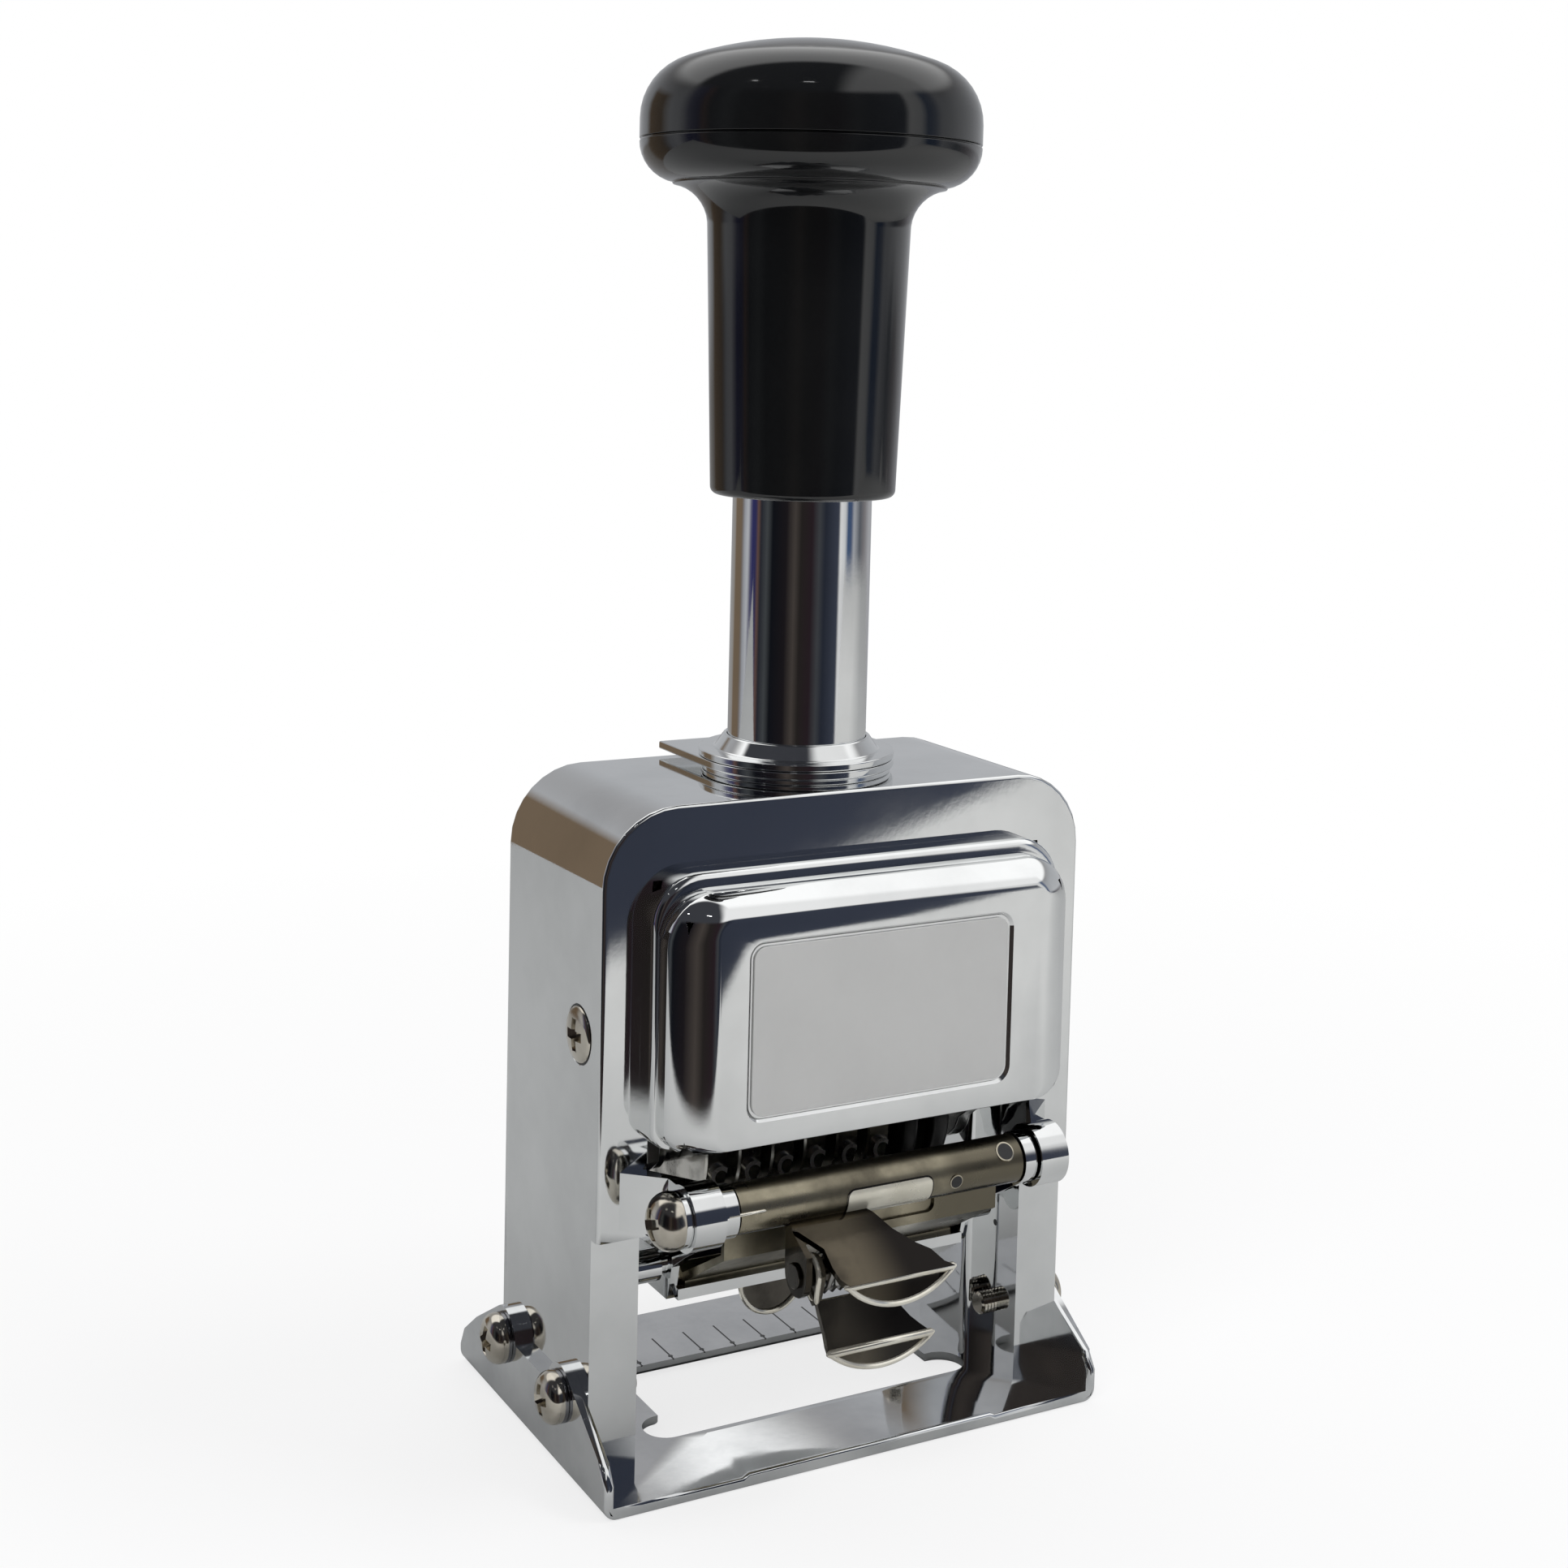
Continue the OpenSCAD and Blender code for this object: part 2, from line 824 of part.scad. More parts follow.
// Pan-head screw of the base at depth y, side -1 or 1
module base_screw(side, y) {
    color(steel)
        scale([side, 1, 1])
            difference() {
                union() {
                    rod_x(inner_w - base_tip, ear_half + washer_t, y, base_screw_z, base_screw_r);
                    translate([ear_half + washer_t, y, base_screw_z])
                        rotate([0, 90, 0])
                            dome(base_head_r, base_head_h);
                }
                translate([ear_half + washer_t + base_head_h, y, base_screw_z])
                    rotate([0, 90, 0])
                        cross_recess(recess_w, recess_l, recess_deep);
            }
}

module base_washer(side, y) {
    color(chrome_dark)
        scale([side, 1, 1])
            difference() {
                rod_x(ear_half, ear_half + washer_t, y, base_screw_z, washer_r);
                rod_x(ear_half - cut, ear_half + washer_t + cut, y, base_screw_z, base_screw_r + screw_fit);
            }
}

// Oval-head screw through a leg into the cover's lug
module side_screw(side) {
    color(steel)
        scale([side, 1, 1])
            difference() {
                union() {
                    rod_x(lug_plate_x, half_w - side_head_h, -side_screw_y, side_screw_z, side_screw_r);
                    side_sink();
                    translate([half_w, -side_screw_y, side_screw_z])
                        rotate([0, 90, 0])
                            dome(side_head_r, side_dome_h);
                }
                translate([half_w + side_dome_h, -side_screw_y, side_screw_z])
                    rotate([0, 90, 0])
                        cross_recess(recess_w, recess_l, recess_deep);
            }
}

module collar_seat() {
    color(chrome)
        translate([0, 0, frame_z])
            difference() {
                cylinder(h = seat_h, r = seat_r);
                translate([0, 0, -cut])
                    cylinder(h = seat_h + 2 * cut, r = bush_r);
            }
}

// Flange, cone and the bush that reaches down into the frame
module collar_ring() {
    color(chrome)
        rotate_extrude()
            polygon([
                [tube_r + run_gap, frame_z - bush_l],
                [bush_r, frame_z - bush_l],
                [bush_r, flange_z],
                [lock_r, flange_z],
                [lock_r, flange_z + flange_h],
                [cone_low_r, flange_z + flange_h],
                [cone_high_r, collar_top],
                [tube_r + run_gap, collar_top]
            ]);
}

// Plate between the collar's rings, round in front and straight to the rear
module lock_plate() {
    color(chrome)
        translate([0, 0, lock_z])
            difference() {
                union() {
                    cylinder(h = lock_t, r = lock_r);
                    block(-lock_r, lock_r, 0, frame_rear + lock_overhang, 0, lock_t);
                }
                translate([0, 0, -cut])
                    cylinder(h = lock_t + 2 * cut, r = lock_hole_r);
                translate([0, -lock_slot, -cut])
                    cylinder(h = lock_t + 2 * cut, r = lock_hole_r);
                block(-lock_hole_r, lock_hole_r, -lock_slot, 0, -cut, lock_t + cut);
            }
}

module cross_bar() {
    color(steel)
        rod_x(-inner_w - bar_grip, inner_w + bar_grip, 0, bar_z, bar_r);
}

module spring_seat() {
    color(steel)
        difference() {
            translate([0, 0, seat_disc_z])
                cylinder(h = seat_t, r = seat_disc_r);
            rod_x(-seat_disc_r - cut, seat_disc_r + cut, 0, bar_z, bar_r);
        }
}

// Centre line of the return spring, eight places to a curl
coil_sides = 6;
coil_steps = 8;
coil_rise = (spring_l - 2 * spring_wire_r) / spring_curls;
coil_path = [
    for (i = [0:spring_curls * coil_steps])
        let (t = 360 * i / coil_steps)
            [
                spring_r * cos(t),
                spring_r * sin(t),
                spring_z + spring_wire_r + coil_rise * i / coil_steps
            ]
];
coil_out = [
    for (i = [0:spring_curls * coil_steps])
        let (t = 360 * i / coil_steps)
            [cos(t), sin(t), 0]
];

// Centre line of the latch's torsion spring with a straight leg at each end
twist_n = twist_curls * coil_steps + coil_steps / 2;
twist_coil = [
    for (i = [0:twist_n])
        let (t = twist_turn + 360 * i / coil_steps)
            [
                twist_x + twist_pitch * i / coil_steps,
                twist_r * cos(t) - pin_y,
                twist_r * sin(t) + pin_z
            ]
];
twist_last = twist_turn + 360 * twist_n / coil_steps;
twist_path = concat(
    [twist_coil[0] + twist_leg * [0, sin(twist_turn), -cos(twist_turn)]],
    twist_coil,
    [twist_coil[twist_n] + twist_leg * [0, -sin(twist_last), cos(twist_last)]]
);
twist_out = concat(
    [[0, cos(twist_turn), sin(twist_turn)]],
    [
        for (i = [0:twist_n])
            let (t = twist_turn + 360 * i / coil_steps)
                [0, cos(t), sin(t)]
    ],
    [[0, cos(twist_last), sin(twist_last)]]
);

// Least distance between places of a path that lie at least half a curl apart
function least(path, r) = min([
    for (i = [0:len(path) - 1])
        for (j = [i + coil_steps - 1:1:len(path) - 1])
            norm(path[i] - path[j])
]) - 2 * r;

// Tube of six sides along a path; out points away from the curl, axis along it
module wire(path, out, axis, r) {
    last = len(path) - 1;
    points = [
        for (i = [0:last])
            for (k = [0:coil_sides - 1])
                let (t = 360 * k / coil_sides)
                    path[i] + r * cos(t) * out[i] + r * sin(t) * axis
    ];
    skin = [
        for (i = [0:last - 1])
            for (k = [0:coil_sides - 1])
                let (
                    a = i * coil_sides + k,
                    b = i * coil_sides + (k + 1) % coil_sides
                )
                    for (half = [0, 1])
                        half == 0 ? [a, b, b + coil_sides] : [a, b + coil_sides, a + coil_sides]
    ];
    start = [for (k = [1:coil_sides - 2]) [0, k + 1, k]];
    end = [
        for (k = [1:coil_sides - 2])
            [last * coil_sides, last * coil_sides + k, last * coil_sides + k + 1]
    ];
    polyhedron(points = points, faces = concat(skin, start, end));
}

module return_spring() {
    echo("return spring, least gap", least(coil_path, spring_wire_r));
    color(steel)
        wire(coil_path, coil_out, [0, 0, 1], spring_wire_r);
}

module latch_spring() {
    echo("latch spring, least gap", least(twist_coil, twist_wire_r));
    color(steel)
        on_shaft()
            wire(twist_path, twist_out, [1, 0, 0], twist_wire_r);
}

module front_shaft() {
    color(steel)
        on_shaft()
            rod_x(-lug_out - shaft_washer_t, lug_out, -shaft_y, shaft_z, shaft_r);
}

module shaft_washer() {
    color(chrome_dark)
        on_shaft()
            difference() {
                rod_x(-lug_out - shaft_washer_t, -lug_out, -shaft_y, shaft_z, shaft_washer_r);
                rod_x(-lug_out - shaft_washer_t - cut, -lug_out + cut, -shaft_y, shaft_z, shaft_r);
            }
}

module shaft_screw() {
    color(steel)
        on_shaft()
            difference() {
                translate([-lug_out - shaft_washer_t, -shaft_y, shaft_z])
                    rotate([0, -90, 0])
                        dome(shaft_head_r, shaft_head_h);
                translate([-lug_out - shaft_washer_t - shaft_head_h, -shaft_y, shaft_z])
                    rotate([0, -90, 0])
                        cross_recess(recess_w, recess_l, recess_deep);
            }
}

module shaft_nut() {
    color(chrome)
        on_shaft()
            translate([lug_out, -shaft_y, shaft_z])
                rotate([0, 90, 0])
                    dome(shaft_nut_r, shaft_nut_h);
}

module knob_body() {
    color(black)
        rotate_extrude($fn = 96)
            polygon(concat(
                [[tube_r, knob_z]],
                arc(sleeve_low_r - sleeve_edge_r, knob_z + sleeve_edge_r, sleeve_edge_r, -90, 0),
                [[sleeve_high_r, sleeve_z]],
                arc(neck_x, sleeve_z, neck_r, 175, neck_turn),
                arc(belly_x, seam_z, belly_r, -belly_turn, 0),
                [[0, seam_z], [0, tube_top], [tube_r, tube_top]]
            ));
}

module knob_cap() {
    color(black)
        rotate_extrude($fn = 96)
            polygon(concat(
                [
                    [0, seam_z],
                    [knob_r - seam_d, seam_z],
                    [knob_r - seam_d, seam_z + seam_h],
                    [knob_r, seam_z + seam_h]
                ],
                arc(edge_x, edge_z, cap_edge_r, 0, edge_turn),
                arc(0, dome_z, cap_dome_r, edge_turn + (90 - edge_turn) / arc_steps, 90)
            ));
}

module plunger_tube() {
    color(chrome)
        difference() {
            translate([0, 0, bridge_top])
                cylinder(h = tube_top - bridge_top, r = tube_r);
            translate([0, 0, bridge_top - cut])
                cylinder(h = tube_top - bridge_top + 2 * cut, r = tube_in_r);
            block(
                -tube_r - cut, tube_r + cut, -bar_r - slot_gap, bar_r + slot_gap,
                bar_z - bar_r - slot_gap, bar_z + travel + bar_r + slot_gap
            );
        }
}

module head_bridge() {
    color(chrome_dark)
        block(-plate_in, plate_in, -bridge_half, bridge_half, bridge_z, bridge_top);
}

// Side plate of the head, slotted round the cross bar
module head_plate() {
    color(steel)
        difference() {
            along_x(plate_in, plate_x)
                polygon(concat(
                    [[plate_half, plate_high_z], [-plate_half, plate_high_z], [-plate_half, axle_z]],
                    arc(0, axle_z, plate_foot_r, 200, 340),
                    [[plate_half, axle_z]]
                ));
            block(
                plate_in - cut, plate_x + cut, -bar_r - slot_gap, bar_r + slot_gap,
                bar_z - bar_r - slot_gap, plate_high_z + cut
            );
            rod_x(plate_in - cut, plate_x + cut, 0, axle_z, axle_r);
        }
}

module head_plate_left() {
    mirror([1, 0, 0])
        head_plate();
}

module head_plate_right() {
    head_plate();
}

module wheel_axle() {
    color(steel)
        rod_x(-plate_x, plate_x, 0, axle_z, axle_r);
}

// A sleeve on the axle from x0 to x1
module axle_sleeve(x0, x1) {
    color(steel)
        difference() {
            rod_x(x0, x1, 0, axle_z, sleeve_r);
            rod_x(x0 - cut, x1 + cut, 0, axle_z, axle_r);
        }
}

// Middle of wheel or disc i, counted from the left
function station(i) = first_wheel_x + i * wheel_pitch;

// Rim with ten raised digit blocks, ratchet beside it, bored for the axle
module number_wheel(i) {
    x0 = station(i) - rim_w / 2;
    x1 = station(i) + rim_w / 2;
    color(nickel_dark)
        difference() {
            union() {
                rod_x(x0, x1, 0, axle_z, wheel_r - digit_h);
                intersection() {
                    rod_x(x0, x1, 0, axle_z, wheel_r);
                    translate([station(i), 0, axle_z])
                        for (k = [0:digits - 1])
                            rotate([360 * k / digits, 0, 0])
                                translate([-digit_w / 2, -digit_l / 2, -wheel_r - cut])
                                    cube([digit_w, digit_l, digit_h + 2 * cut]);
                }
                translate([0, 0, axle_z])
                    along_x(x1, x1 + ratchet_w)
                        polygon([
                            for (k = [0:digits - 1])
                                for (edge = [0, 1])
                                    let (
                                        t = 360 * (k + edge * ratchet_lead_share) / digits,
                                        r = edge == 0 ? ratchet_root : ratchet_r
                                    )
                                        [r * cos(t), r * sin(t)]
                        ]);
            }
            rod_x(x0 - cut, x1 + ratchet_w + cut, 0, axle_z, axle_r + run_gap);
        }
}

// Plain black disc with rounded rim, fixed on the axle
module plain_disc(i) {
    x0 = station(i) - disc_w / 2;
    x1 = station(i) + disc_w / 2;
    color(black)
        translate([x0, 0, axle_z])
            rotate([0, 90, 0])
                rotate_extrude()
                    polygon(concat(
                        [[axle_r, 0]],
                        arc(disc_r - disc_edge, disc_edge, disc_edge, -90, 0),
                        arc(disc_r - disc_edge, x1 - x0 - disc_edge, disc_edge, 0, 90),
                        [[axle_r, x1 - x0]]
                    ));
}

// Middle of the gap beside wheel i
function gap_x(i) = station(i) + wheel_pitch / 2;

module detent_comb() {
    color(steel) {
        block(
            station(0) - rim_w / 2, station(wheel_n - 1) + wheel_pitch / 2 + finger_w,
            -comb_half, comb_half, comb_z, bridge_z
        );
        for (i = [0:wheel_n - 1])
            block(
                gap_x(i) - finger_w / 2, gap_x(i) + finger_w / 2, -finger_half, finger_half,
                axle_z + ratchet_r + comb_tip_gap, comb_z
            );
    }
}

// Two arms on the axle, the rod behind the wheels and its six pawls
module pawl_yoke() {
    color(steel)
        translate([0, 0, axle_z])
            rotate([rod_rise, 0, 0]) {
                both_sides()
                    difference() {
                        union() {
                            rod_x(yoke_in, yoke_in + yoke_t, 0, 0, yoke_hub_r);
                            block(yoke_in, yoke_in + yoke_t, 0, rod_c, -yoke_arm_half, yoke_arm_half);
                        }
                        rod_x(yoke_in - cut, yoke_in + yoke_t + cut, 0, 0, axle_r + run_gap);
                    }
                rod_x(-yoke_in, yoke_in, rod_c, 0, rod_r);
                for (i = [0:wheel_n - 1])
                    block(
                        gap_x(i) - finger_w / 2, gap_x(i) + finger_w / 2,
                        ratchet_r + comb_tip_gap, rod_c, -pawl_half, pawl_half
                    );
            }
}

// Side outline of a tray arm, from the shaft knuckle to the tray's rear
module arm_outline() {
    polygon(concat(
        arc(-shaft_y, shaft_z, knuckle_r, shaft_turn_high, shaft_turn_low),
        [
            [-arm_nose_y, arm_nose_z],
            [-arm_knee_y, arm_knee_z],
            [lip_h - tray_front - lip_t, tray_z + lip_h - lip_t],
            [-tray_front + arm_chin, tray_z],
            [tray_rear, tray_z],
            [tray_rear, arm_back_z],
            [-arm_rise_y, arm_rise_z],
            [-arm_neck_y, arm_neck_z]
        ]
    ));
}

module ink_tray() {
    color(chrome)
        on_shaft()
            difference() {
                union() {
                    both_sides() {
                        along_x(arm_in, arm_out)
                            arm_outline();
                        rod_x(knuckle_in, knuckle_out, -shaft_y, shaft_z, knuckle_r);
                        rod_x(arm_out, arm_out + stud_neck_l, -stud_y, stud_z, stud_neck_r);
                        rod_x(arm_out + stud_neck_l, arm_out + stud_l, -stud_y, stud_z, stud_r);
                    }
                    block(-arm_in, arm_in, -tray_front, tray_rear, tray_z, tray_z + tray_t);
                    block(
                        -arm_in, arm_in, -tray_front, -tray_front + lip_t,
                        tray_z + tray_t, tray_z + lip_h
                    );
                }
                both_sides()
                    rod_x(knuckle_in - cut, knuckle_out + cut, -shaft_y, shaft_z, shaft_r + run_gap);
            }
}

// Open box that carries the ink pad in the tray
module pad_holder() {
    z0 = tray_z + tray_t;
    y0 = lid_t - lid_low_y;
    color(nickel)
        on_shaft()
            difference() {
                block(-holder_half, holder_half, y0, tray_rear - holder_gap, z0, z0 + holder_h);
                block(
                    -holder_half + holder_t, holder_half - holder_t,
                    y0 + holder_t, tray_rear - holder_gap - holder_t,
                    z0 + holder_t, z0 + holder_h + cut
                );
            }
}

module ink_pad() {
    z0 = tray_z + tray_t + holder_t;
    color(ink)
        on_shaft()
            block(
                -holder_half + holder_t + pad_margin, holder_half - holder_t - pad_margin,
                lid_t - lid_low_y + holder_t + pad_margin, tray_rear - holder_gap - holder_t - pad_margin,
                z0, pad_z
            );
}

// Half-round lip below a fold, its straight edge at (y, z), middle x, width w
module half_lip(x, y, z, w, drop) {
    r = (w * w / 4 + drop * drop) / (2 * drop);
    t = asin(w / 2 / r);
    translate([x, 0, z])
        along_y(y, y + lid_t)
            polygon(arc(0, r - drop, r, 270 - t, 270 + t));
}

// Nickel lid: sleeve on the shaft, sloping plate, tongue and latch ears
module pad_lid() {
    tongue_slope = atan2(tongue_root_z - tongue_z, tongue_y - tongue_root_y);
    tongue_l = norm([tongue_root_z - tongue_z, tongue_y - tongue_root_y]);
    ear_fall = (tongue_root_z - tongue_z) / (tongue_y - tongue_root_y);
    ear_top_z = tongue_z + lid_t / 2 + (tongue_y - pin_y) * ear_fall;
    color(nickel)
        on_shaft()
            difference() {
                union() {
                    rod_x(-lid_sleeve_half, lid_sleeve_half, -shaft_y, shaft_z, lid_sleeve_r);
                    along_x(-lid_half, lid_half)
                        polygon([
                            [-lid_y + lid_t, lid_top_z],
                            [-lid_y, lid_top_z],
                            [-lid_y, lid_knee_z],
                            [-lid_low_y, lid_low_z - lid_t],
                            [-lid_low_y, tray_z + tray_t],
                            [-lid_low_y + lid_t, tray_z + tray_t],
                            [-lid_low_y + lid_t, lid_low_z],
                            [-lid_y + lid_t, lid_knee_z + lid_t / 2]
                        ]);
                    translate([tongue_x, -tongue_y, tongue_z])
                        rotate([tongue_slope, 0, 0])
                            linear_extrude(lid_t)
                                polygon([
                                    for (p = concat(tongue_left_shares, tongue_right_shares))
                                        [p[0] * tongue_w, (1 - p[1]) * tongue_l]
                                ]);
                    half_lip(tongue_x, -tongue_y, tongue_z + lid_t / 2, tongue_w, tongue_lip);
                    for (x = [-bracket_left, bracket_right - bracket_t])
                        along_x(x, x + bracket_t)
                            polygon(concat(
                                arc(-pin_y, pin_z, bracket_r, 180, 360),
                                [
                                    [bracket_r - pin_y, ear_top_z + bracket_r * ear_fall],
                                    [-bracket_r - pin_y, ear_top_z - bracket_r * ear_fall]
                                ]
                            ));
                }
                rod_x(-lid_sleeve_half - cut, lid_sleeve_half + cut, -shaft_y, shaft_z, shaft_r + run_gap);
                rod_x(-bracket_left - cut, bracket_right + cut, -pin_y, pin_z, pin_r);
                along_y(-lid_y - cut, -lid_y + panel_d)
                    polygon(round_box(panel_x, panel_x + panel_w, panel_low, panel_high, panel_r));
            }
}

module pull_tab() {
    color(nickel_dark)
        on_shaft()
            translate([-tab_x, 0, tray_z])
                along_y(-tab_y, tab_t - tab_y)
                    polygon(arc(0, 0, tab_r, 180, 360));
}

module latch_pin() {
    color(steel)
        on_shaft()
            rod_x(-bracket_left - pin_over, bracket_right + pin_over, -pin_y, pin_z, pin_r);
}

// Lower tongue that turns on the latch pin
module latch_lever() {
    slope = atan2(lever_top_z - lever_fold_z, lever_fold_y - lever_top_y);
    lever_l = norm([lever_top_z - lever_fold_z, lever_fold_y - lever_top_y]);
    color(nickel)
        on_shaft()
            difference() {
                union() {
                    for (x = [-lever_in_left, lever_in_right - lever_t])
                        along_x(x, x + lever_t)
                            polygon(concat(
                                arc(-pin_y, pin_z, lever_r, -20, 200),
                                [
                                    [-lever_top_y, lever_top_z],
                                    [-lever_top_y + lever_t, lever_top_z - lever_t],
                                    [lever_t - pin_y, lever_top_z]
                                ]
                            ));
                    translate([tongue_x, -lever_fold_y, lever_fold_z])
                        rotate([slope, 0, 0])
                            translate([0, 0, -lever_t])
                                linear_extrude(lever_t)
                                    polygon([
                                        for (p = concat(lever_left_shares, lever_right_shares))
                                            [p[0] * lever_w, p[1] * lever_l]
                                    ]);
                    half_lip(tongue_x, -lever_fold_y, lever_fold_z + lever_t / 2, lever_w, lever_lip);
                }
                rod_x(-lever_in_left - cut, lever_in_right + cut, -pin_y, pin_z, pin_r + run_gap);
            }
}

frame_body();
front_cover();
label_plate();
rear_cover();
rear_screw(-1, rear_low + rear_screw_up);  // rear_screw_1
rear_screw(1, rear_low + rear_screw_up);  // rear_screw_2
rear_screw(-1, rear_top_z - rear_screw_up);  // rear_screw_3
rear_screw(1, rear_top_z - rear_screw_up);  // rear_screw_4
base_plate();
base_screw(-1, -front_screw_y);  // base_screw_1
base_screw(-1, rear_screw_y);  // base_screw_2
base_screw(1, -front_screw_y);  // base_screw_3
base_screw(1, rear_screw_y);  // base_screw_4
base_washer(-1, -front_screw_y);  // base_washer_1
base_washer(-1, rear_screw_y);  // base_washer_2
base_washer(1, -front_screw_y);  // base_washer_3
base_washer(1, rear_screw_y);  // base_washer_4
side_screw(-1);  // side_screw_left
side_screw(1);  // side_screw_right
collar_seat();
collar_ring();
lock_plate();
cross_bar();
spring_seat();
return_spring();
front_shaft();
shaft_screw();
shaft_washer();
shaft_nut();
knob_cap();
knob_body();
plunger_tube();
head_bridge();
head_plate_left();
head_plate_right();
wheel_axle();
axle_sleeve(-plate_in, -yoke_in - yoke_t - sleeve_gap);  // axle_sleeve_left
axle_sleeve(yoke_in + yoke_t + sleeve_gap, plate_in);  // axle_sleeve_right
axle_sleeve(sleeve_gap - yoke_in, station(0) - rim_w / 2 - sleeve_gap);  // wheel_bush
number_wheel(0);  // number_wheel_1
number_wheel(1);  // number_wheel_2
number_wheel(2);  // number_wheel_3
number_wheel(3);  // number_wheel_4
number_wheel(4);  // number_wheel_5
number_wheel(5);  // number_wheel_6
plain_disc(wheel_n);  // plain_disc_1
plain_disc(wheel_n + 1);  // plain_disc_2
detent_comb();
pawl_yoke();
ink_tray();
pad_holder();
ink_pad();
pad_lid();
pull_tab();
latch_pin();
latch_lever();
latch_spring();
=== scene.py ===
import json
import math

import bmesh
import bpy
from mathutils import Matrix, Vector


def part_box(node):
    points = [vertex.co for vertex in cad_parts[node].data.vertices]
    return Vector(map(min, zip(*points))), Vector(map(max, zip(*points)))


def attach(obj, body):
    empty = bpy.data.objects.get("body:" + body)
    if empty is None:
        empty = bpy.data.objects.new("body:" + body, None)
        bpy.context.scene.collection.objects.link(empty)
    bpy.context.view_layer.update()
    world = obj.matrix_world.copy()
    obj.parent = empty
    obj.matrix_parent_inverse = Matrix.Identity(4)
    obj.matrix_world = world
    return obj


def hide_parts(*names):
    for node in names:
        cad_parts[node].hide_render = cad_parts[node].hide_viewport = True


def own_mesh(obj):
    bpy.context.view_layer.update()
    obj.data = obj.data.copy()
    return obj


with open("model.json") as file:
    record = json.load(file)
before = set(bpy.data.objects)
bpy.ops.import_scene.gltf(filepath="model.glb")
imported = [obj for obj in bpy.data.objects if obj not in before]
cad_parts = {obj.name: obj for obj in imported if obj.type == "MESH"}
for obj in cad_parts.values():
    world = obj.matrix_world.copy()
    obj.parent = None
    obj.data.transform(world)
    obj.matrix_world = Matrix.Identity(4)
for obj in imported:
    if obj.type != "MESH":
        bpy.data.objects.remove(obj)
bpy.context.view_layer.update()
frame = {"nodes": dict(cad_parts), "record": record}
scene = bpy.context.scene
mm = 0.001


def say(stage):
    print("numbering machine:", stage)


# Camera, as the photograph was taken
cameraSettings = {
    "place": (-0.14418, -0.25816, 0.14089),
    "yaw": 29.12,
    "pitch": 4.37,
    "lean": 1.418,
    "lens": 53.3,
    "sensor": 36.0,
    "shift": (-0.0102, -0.1878),
    "nearest": 0.01,
}


def placeCamera(s):
    yaw, pitch, lean = (math.radians(s[k]) for k in ("yaw", "pitch", "lean"))
    forward = Vector((math.sin(yaw) * math.cos(pitch), math.cos(yaw) * math.cos(pitch), -math.sin(pitch)))
    right = Vector((math.cos(yaw), -math.sin(yaw), 0.0))
    up = right.cross(forward)
    rightTurned = right * math.cos(lean) + up * math.sin(lean)
    upTurned = up * math.cos(lean) - right * math.sin(lean)
    data = bpy.data.cameras.new("camera")
    data.sensor_width = s["sensor"]
    data.lens = s["lens"]
    data.shift_x, data.shift_y = s["shift"]
    data.clip_start = s["nearest"]
    camera = bpy.data.objects.new("camera", data)
    scene.collection.objects.link(camera)
    turn = Matrix((rightTurned, upTurned, -forward)).transposed()
    camera.matrix_world = Matrix.Translation(s["place"]) @ turn.to_4x4()
    scene.camera = camera


placeCamera(cameraSettings)
say("camera placed")


# Sets a node's sockets, by name or number, to a constant or a link; a colour is given by three values
def feed(node, inputs):
    for name, value in inputs.items():
        socket = node.inputs[name]
        if isinstance(value, bpy.types.NodeSocket):
            node.id_data.links.new(value, socket)
        elif socket.type == "RGBA":
            socket.default_value = (*value, 1.0)
        else:
            socket.default_value = value


def addNode(tree, kind, inputs=None, **options):
    node = tree.nodes.new("ShaderNode" + kind)
    for option, value in options.items():
        setattr(node, option, value)
    feed(node, inputs or {})
    return node


def addMath(tree, operation, first, second):
    return addNode(tree, "Math", {0: first, 1: second}, operation=operation).outputs["Value"]


# How far a value has come from low to high, as a share between nought and one
def addShare(tree, value, low, high, soft=False):
    inputs = {"Value": value, "From Min": low, "From Max": high}
    kind = "SMOOTHSTEP" if soft else "LINEAR"
    return addNode(tree, "MapRange", inputs, interpolation_type=kind).outputs["Result"]


def addMix(tree, share, first, second):
    inputs = {"Factor": share, "A": first, "B": second}
    return addNode(tree, "Mix", inputs, data_type="RGBA").outputs["Result"]


# Shared effects, as node groups that give out masks, values and normals
effectSettings = {
    "smudges": {"detail": 5.0, "grain": 0.6, "clear": 0.4, "full": 0.68},
    "scratches": {"detail": 3.0},
    "surface": {"detail": 1.0, "strength": 1.0, "distance": 1.0},
}


def newGroup(name, inputs, outputs):
    group = bpy.data.node_groups.new(name, "ShaderNodeTree")
    for label, kind, value in inputs:
        socket = group.interface.new_socket(name=label, in_out="INPUT", socket_type=kind)
        socket.default_value = value
    for label, kind in outputs:
        group.interface.new_socket(name=label, in_out="OUTPUT", socket_type=kind)
    return group, group.nodes.new("NodeGroupInput").outputs, group.nodes.new("NodeGroupOutput")


# Soft cloudy patches, such as fingerprints and haze on plating
def buildSmudges(s):
    group, given, made = newGroup(
        "smudges",
        [
            ("Scale", "NodeSocketFloat", 40.0), ("Low", "NodeSocketFloat", 0.05),
            ("High", "NodeSocketFloat", 0.15),
        ],
        [("Mask", "NodeSocketFloat"), ("Roughness", "NodeSocketFloat")],
    )
    noise = addNode(group, "TexNoise", {
        "Vector": addNode(group, "TexCoord").outputs["Object"], "Scale": given["Scale"],
        "Detail": s["detail"], "Roughness": s["grain"],
    })
    mask = addShare(group, noise.outputs["Fac"], s["clear"], s["full"])
    rough = addNode(group, "MapRange", {"Value": mask, "To Min": given["Low"], "To Max": given["High"]})
    feed(made, {"Mask": mask, "Roughness": rough.outputs["Result"]})
    return group


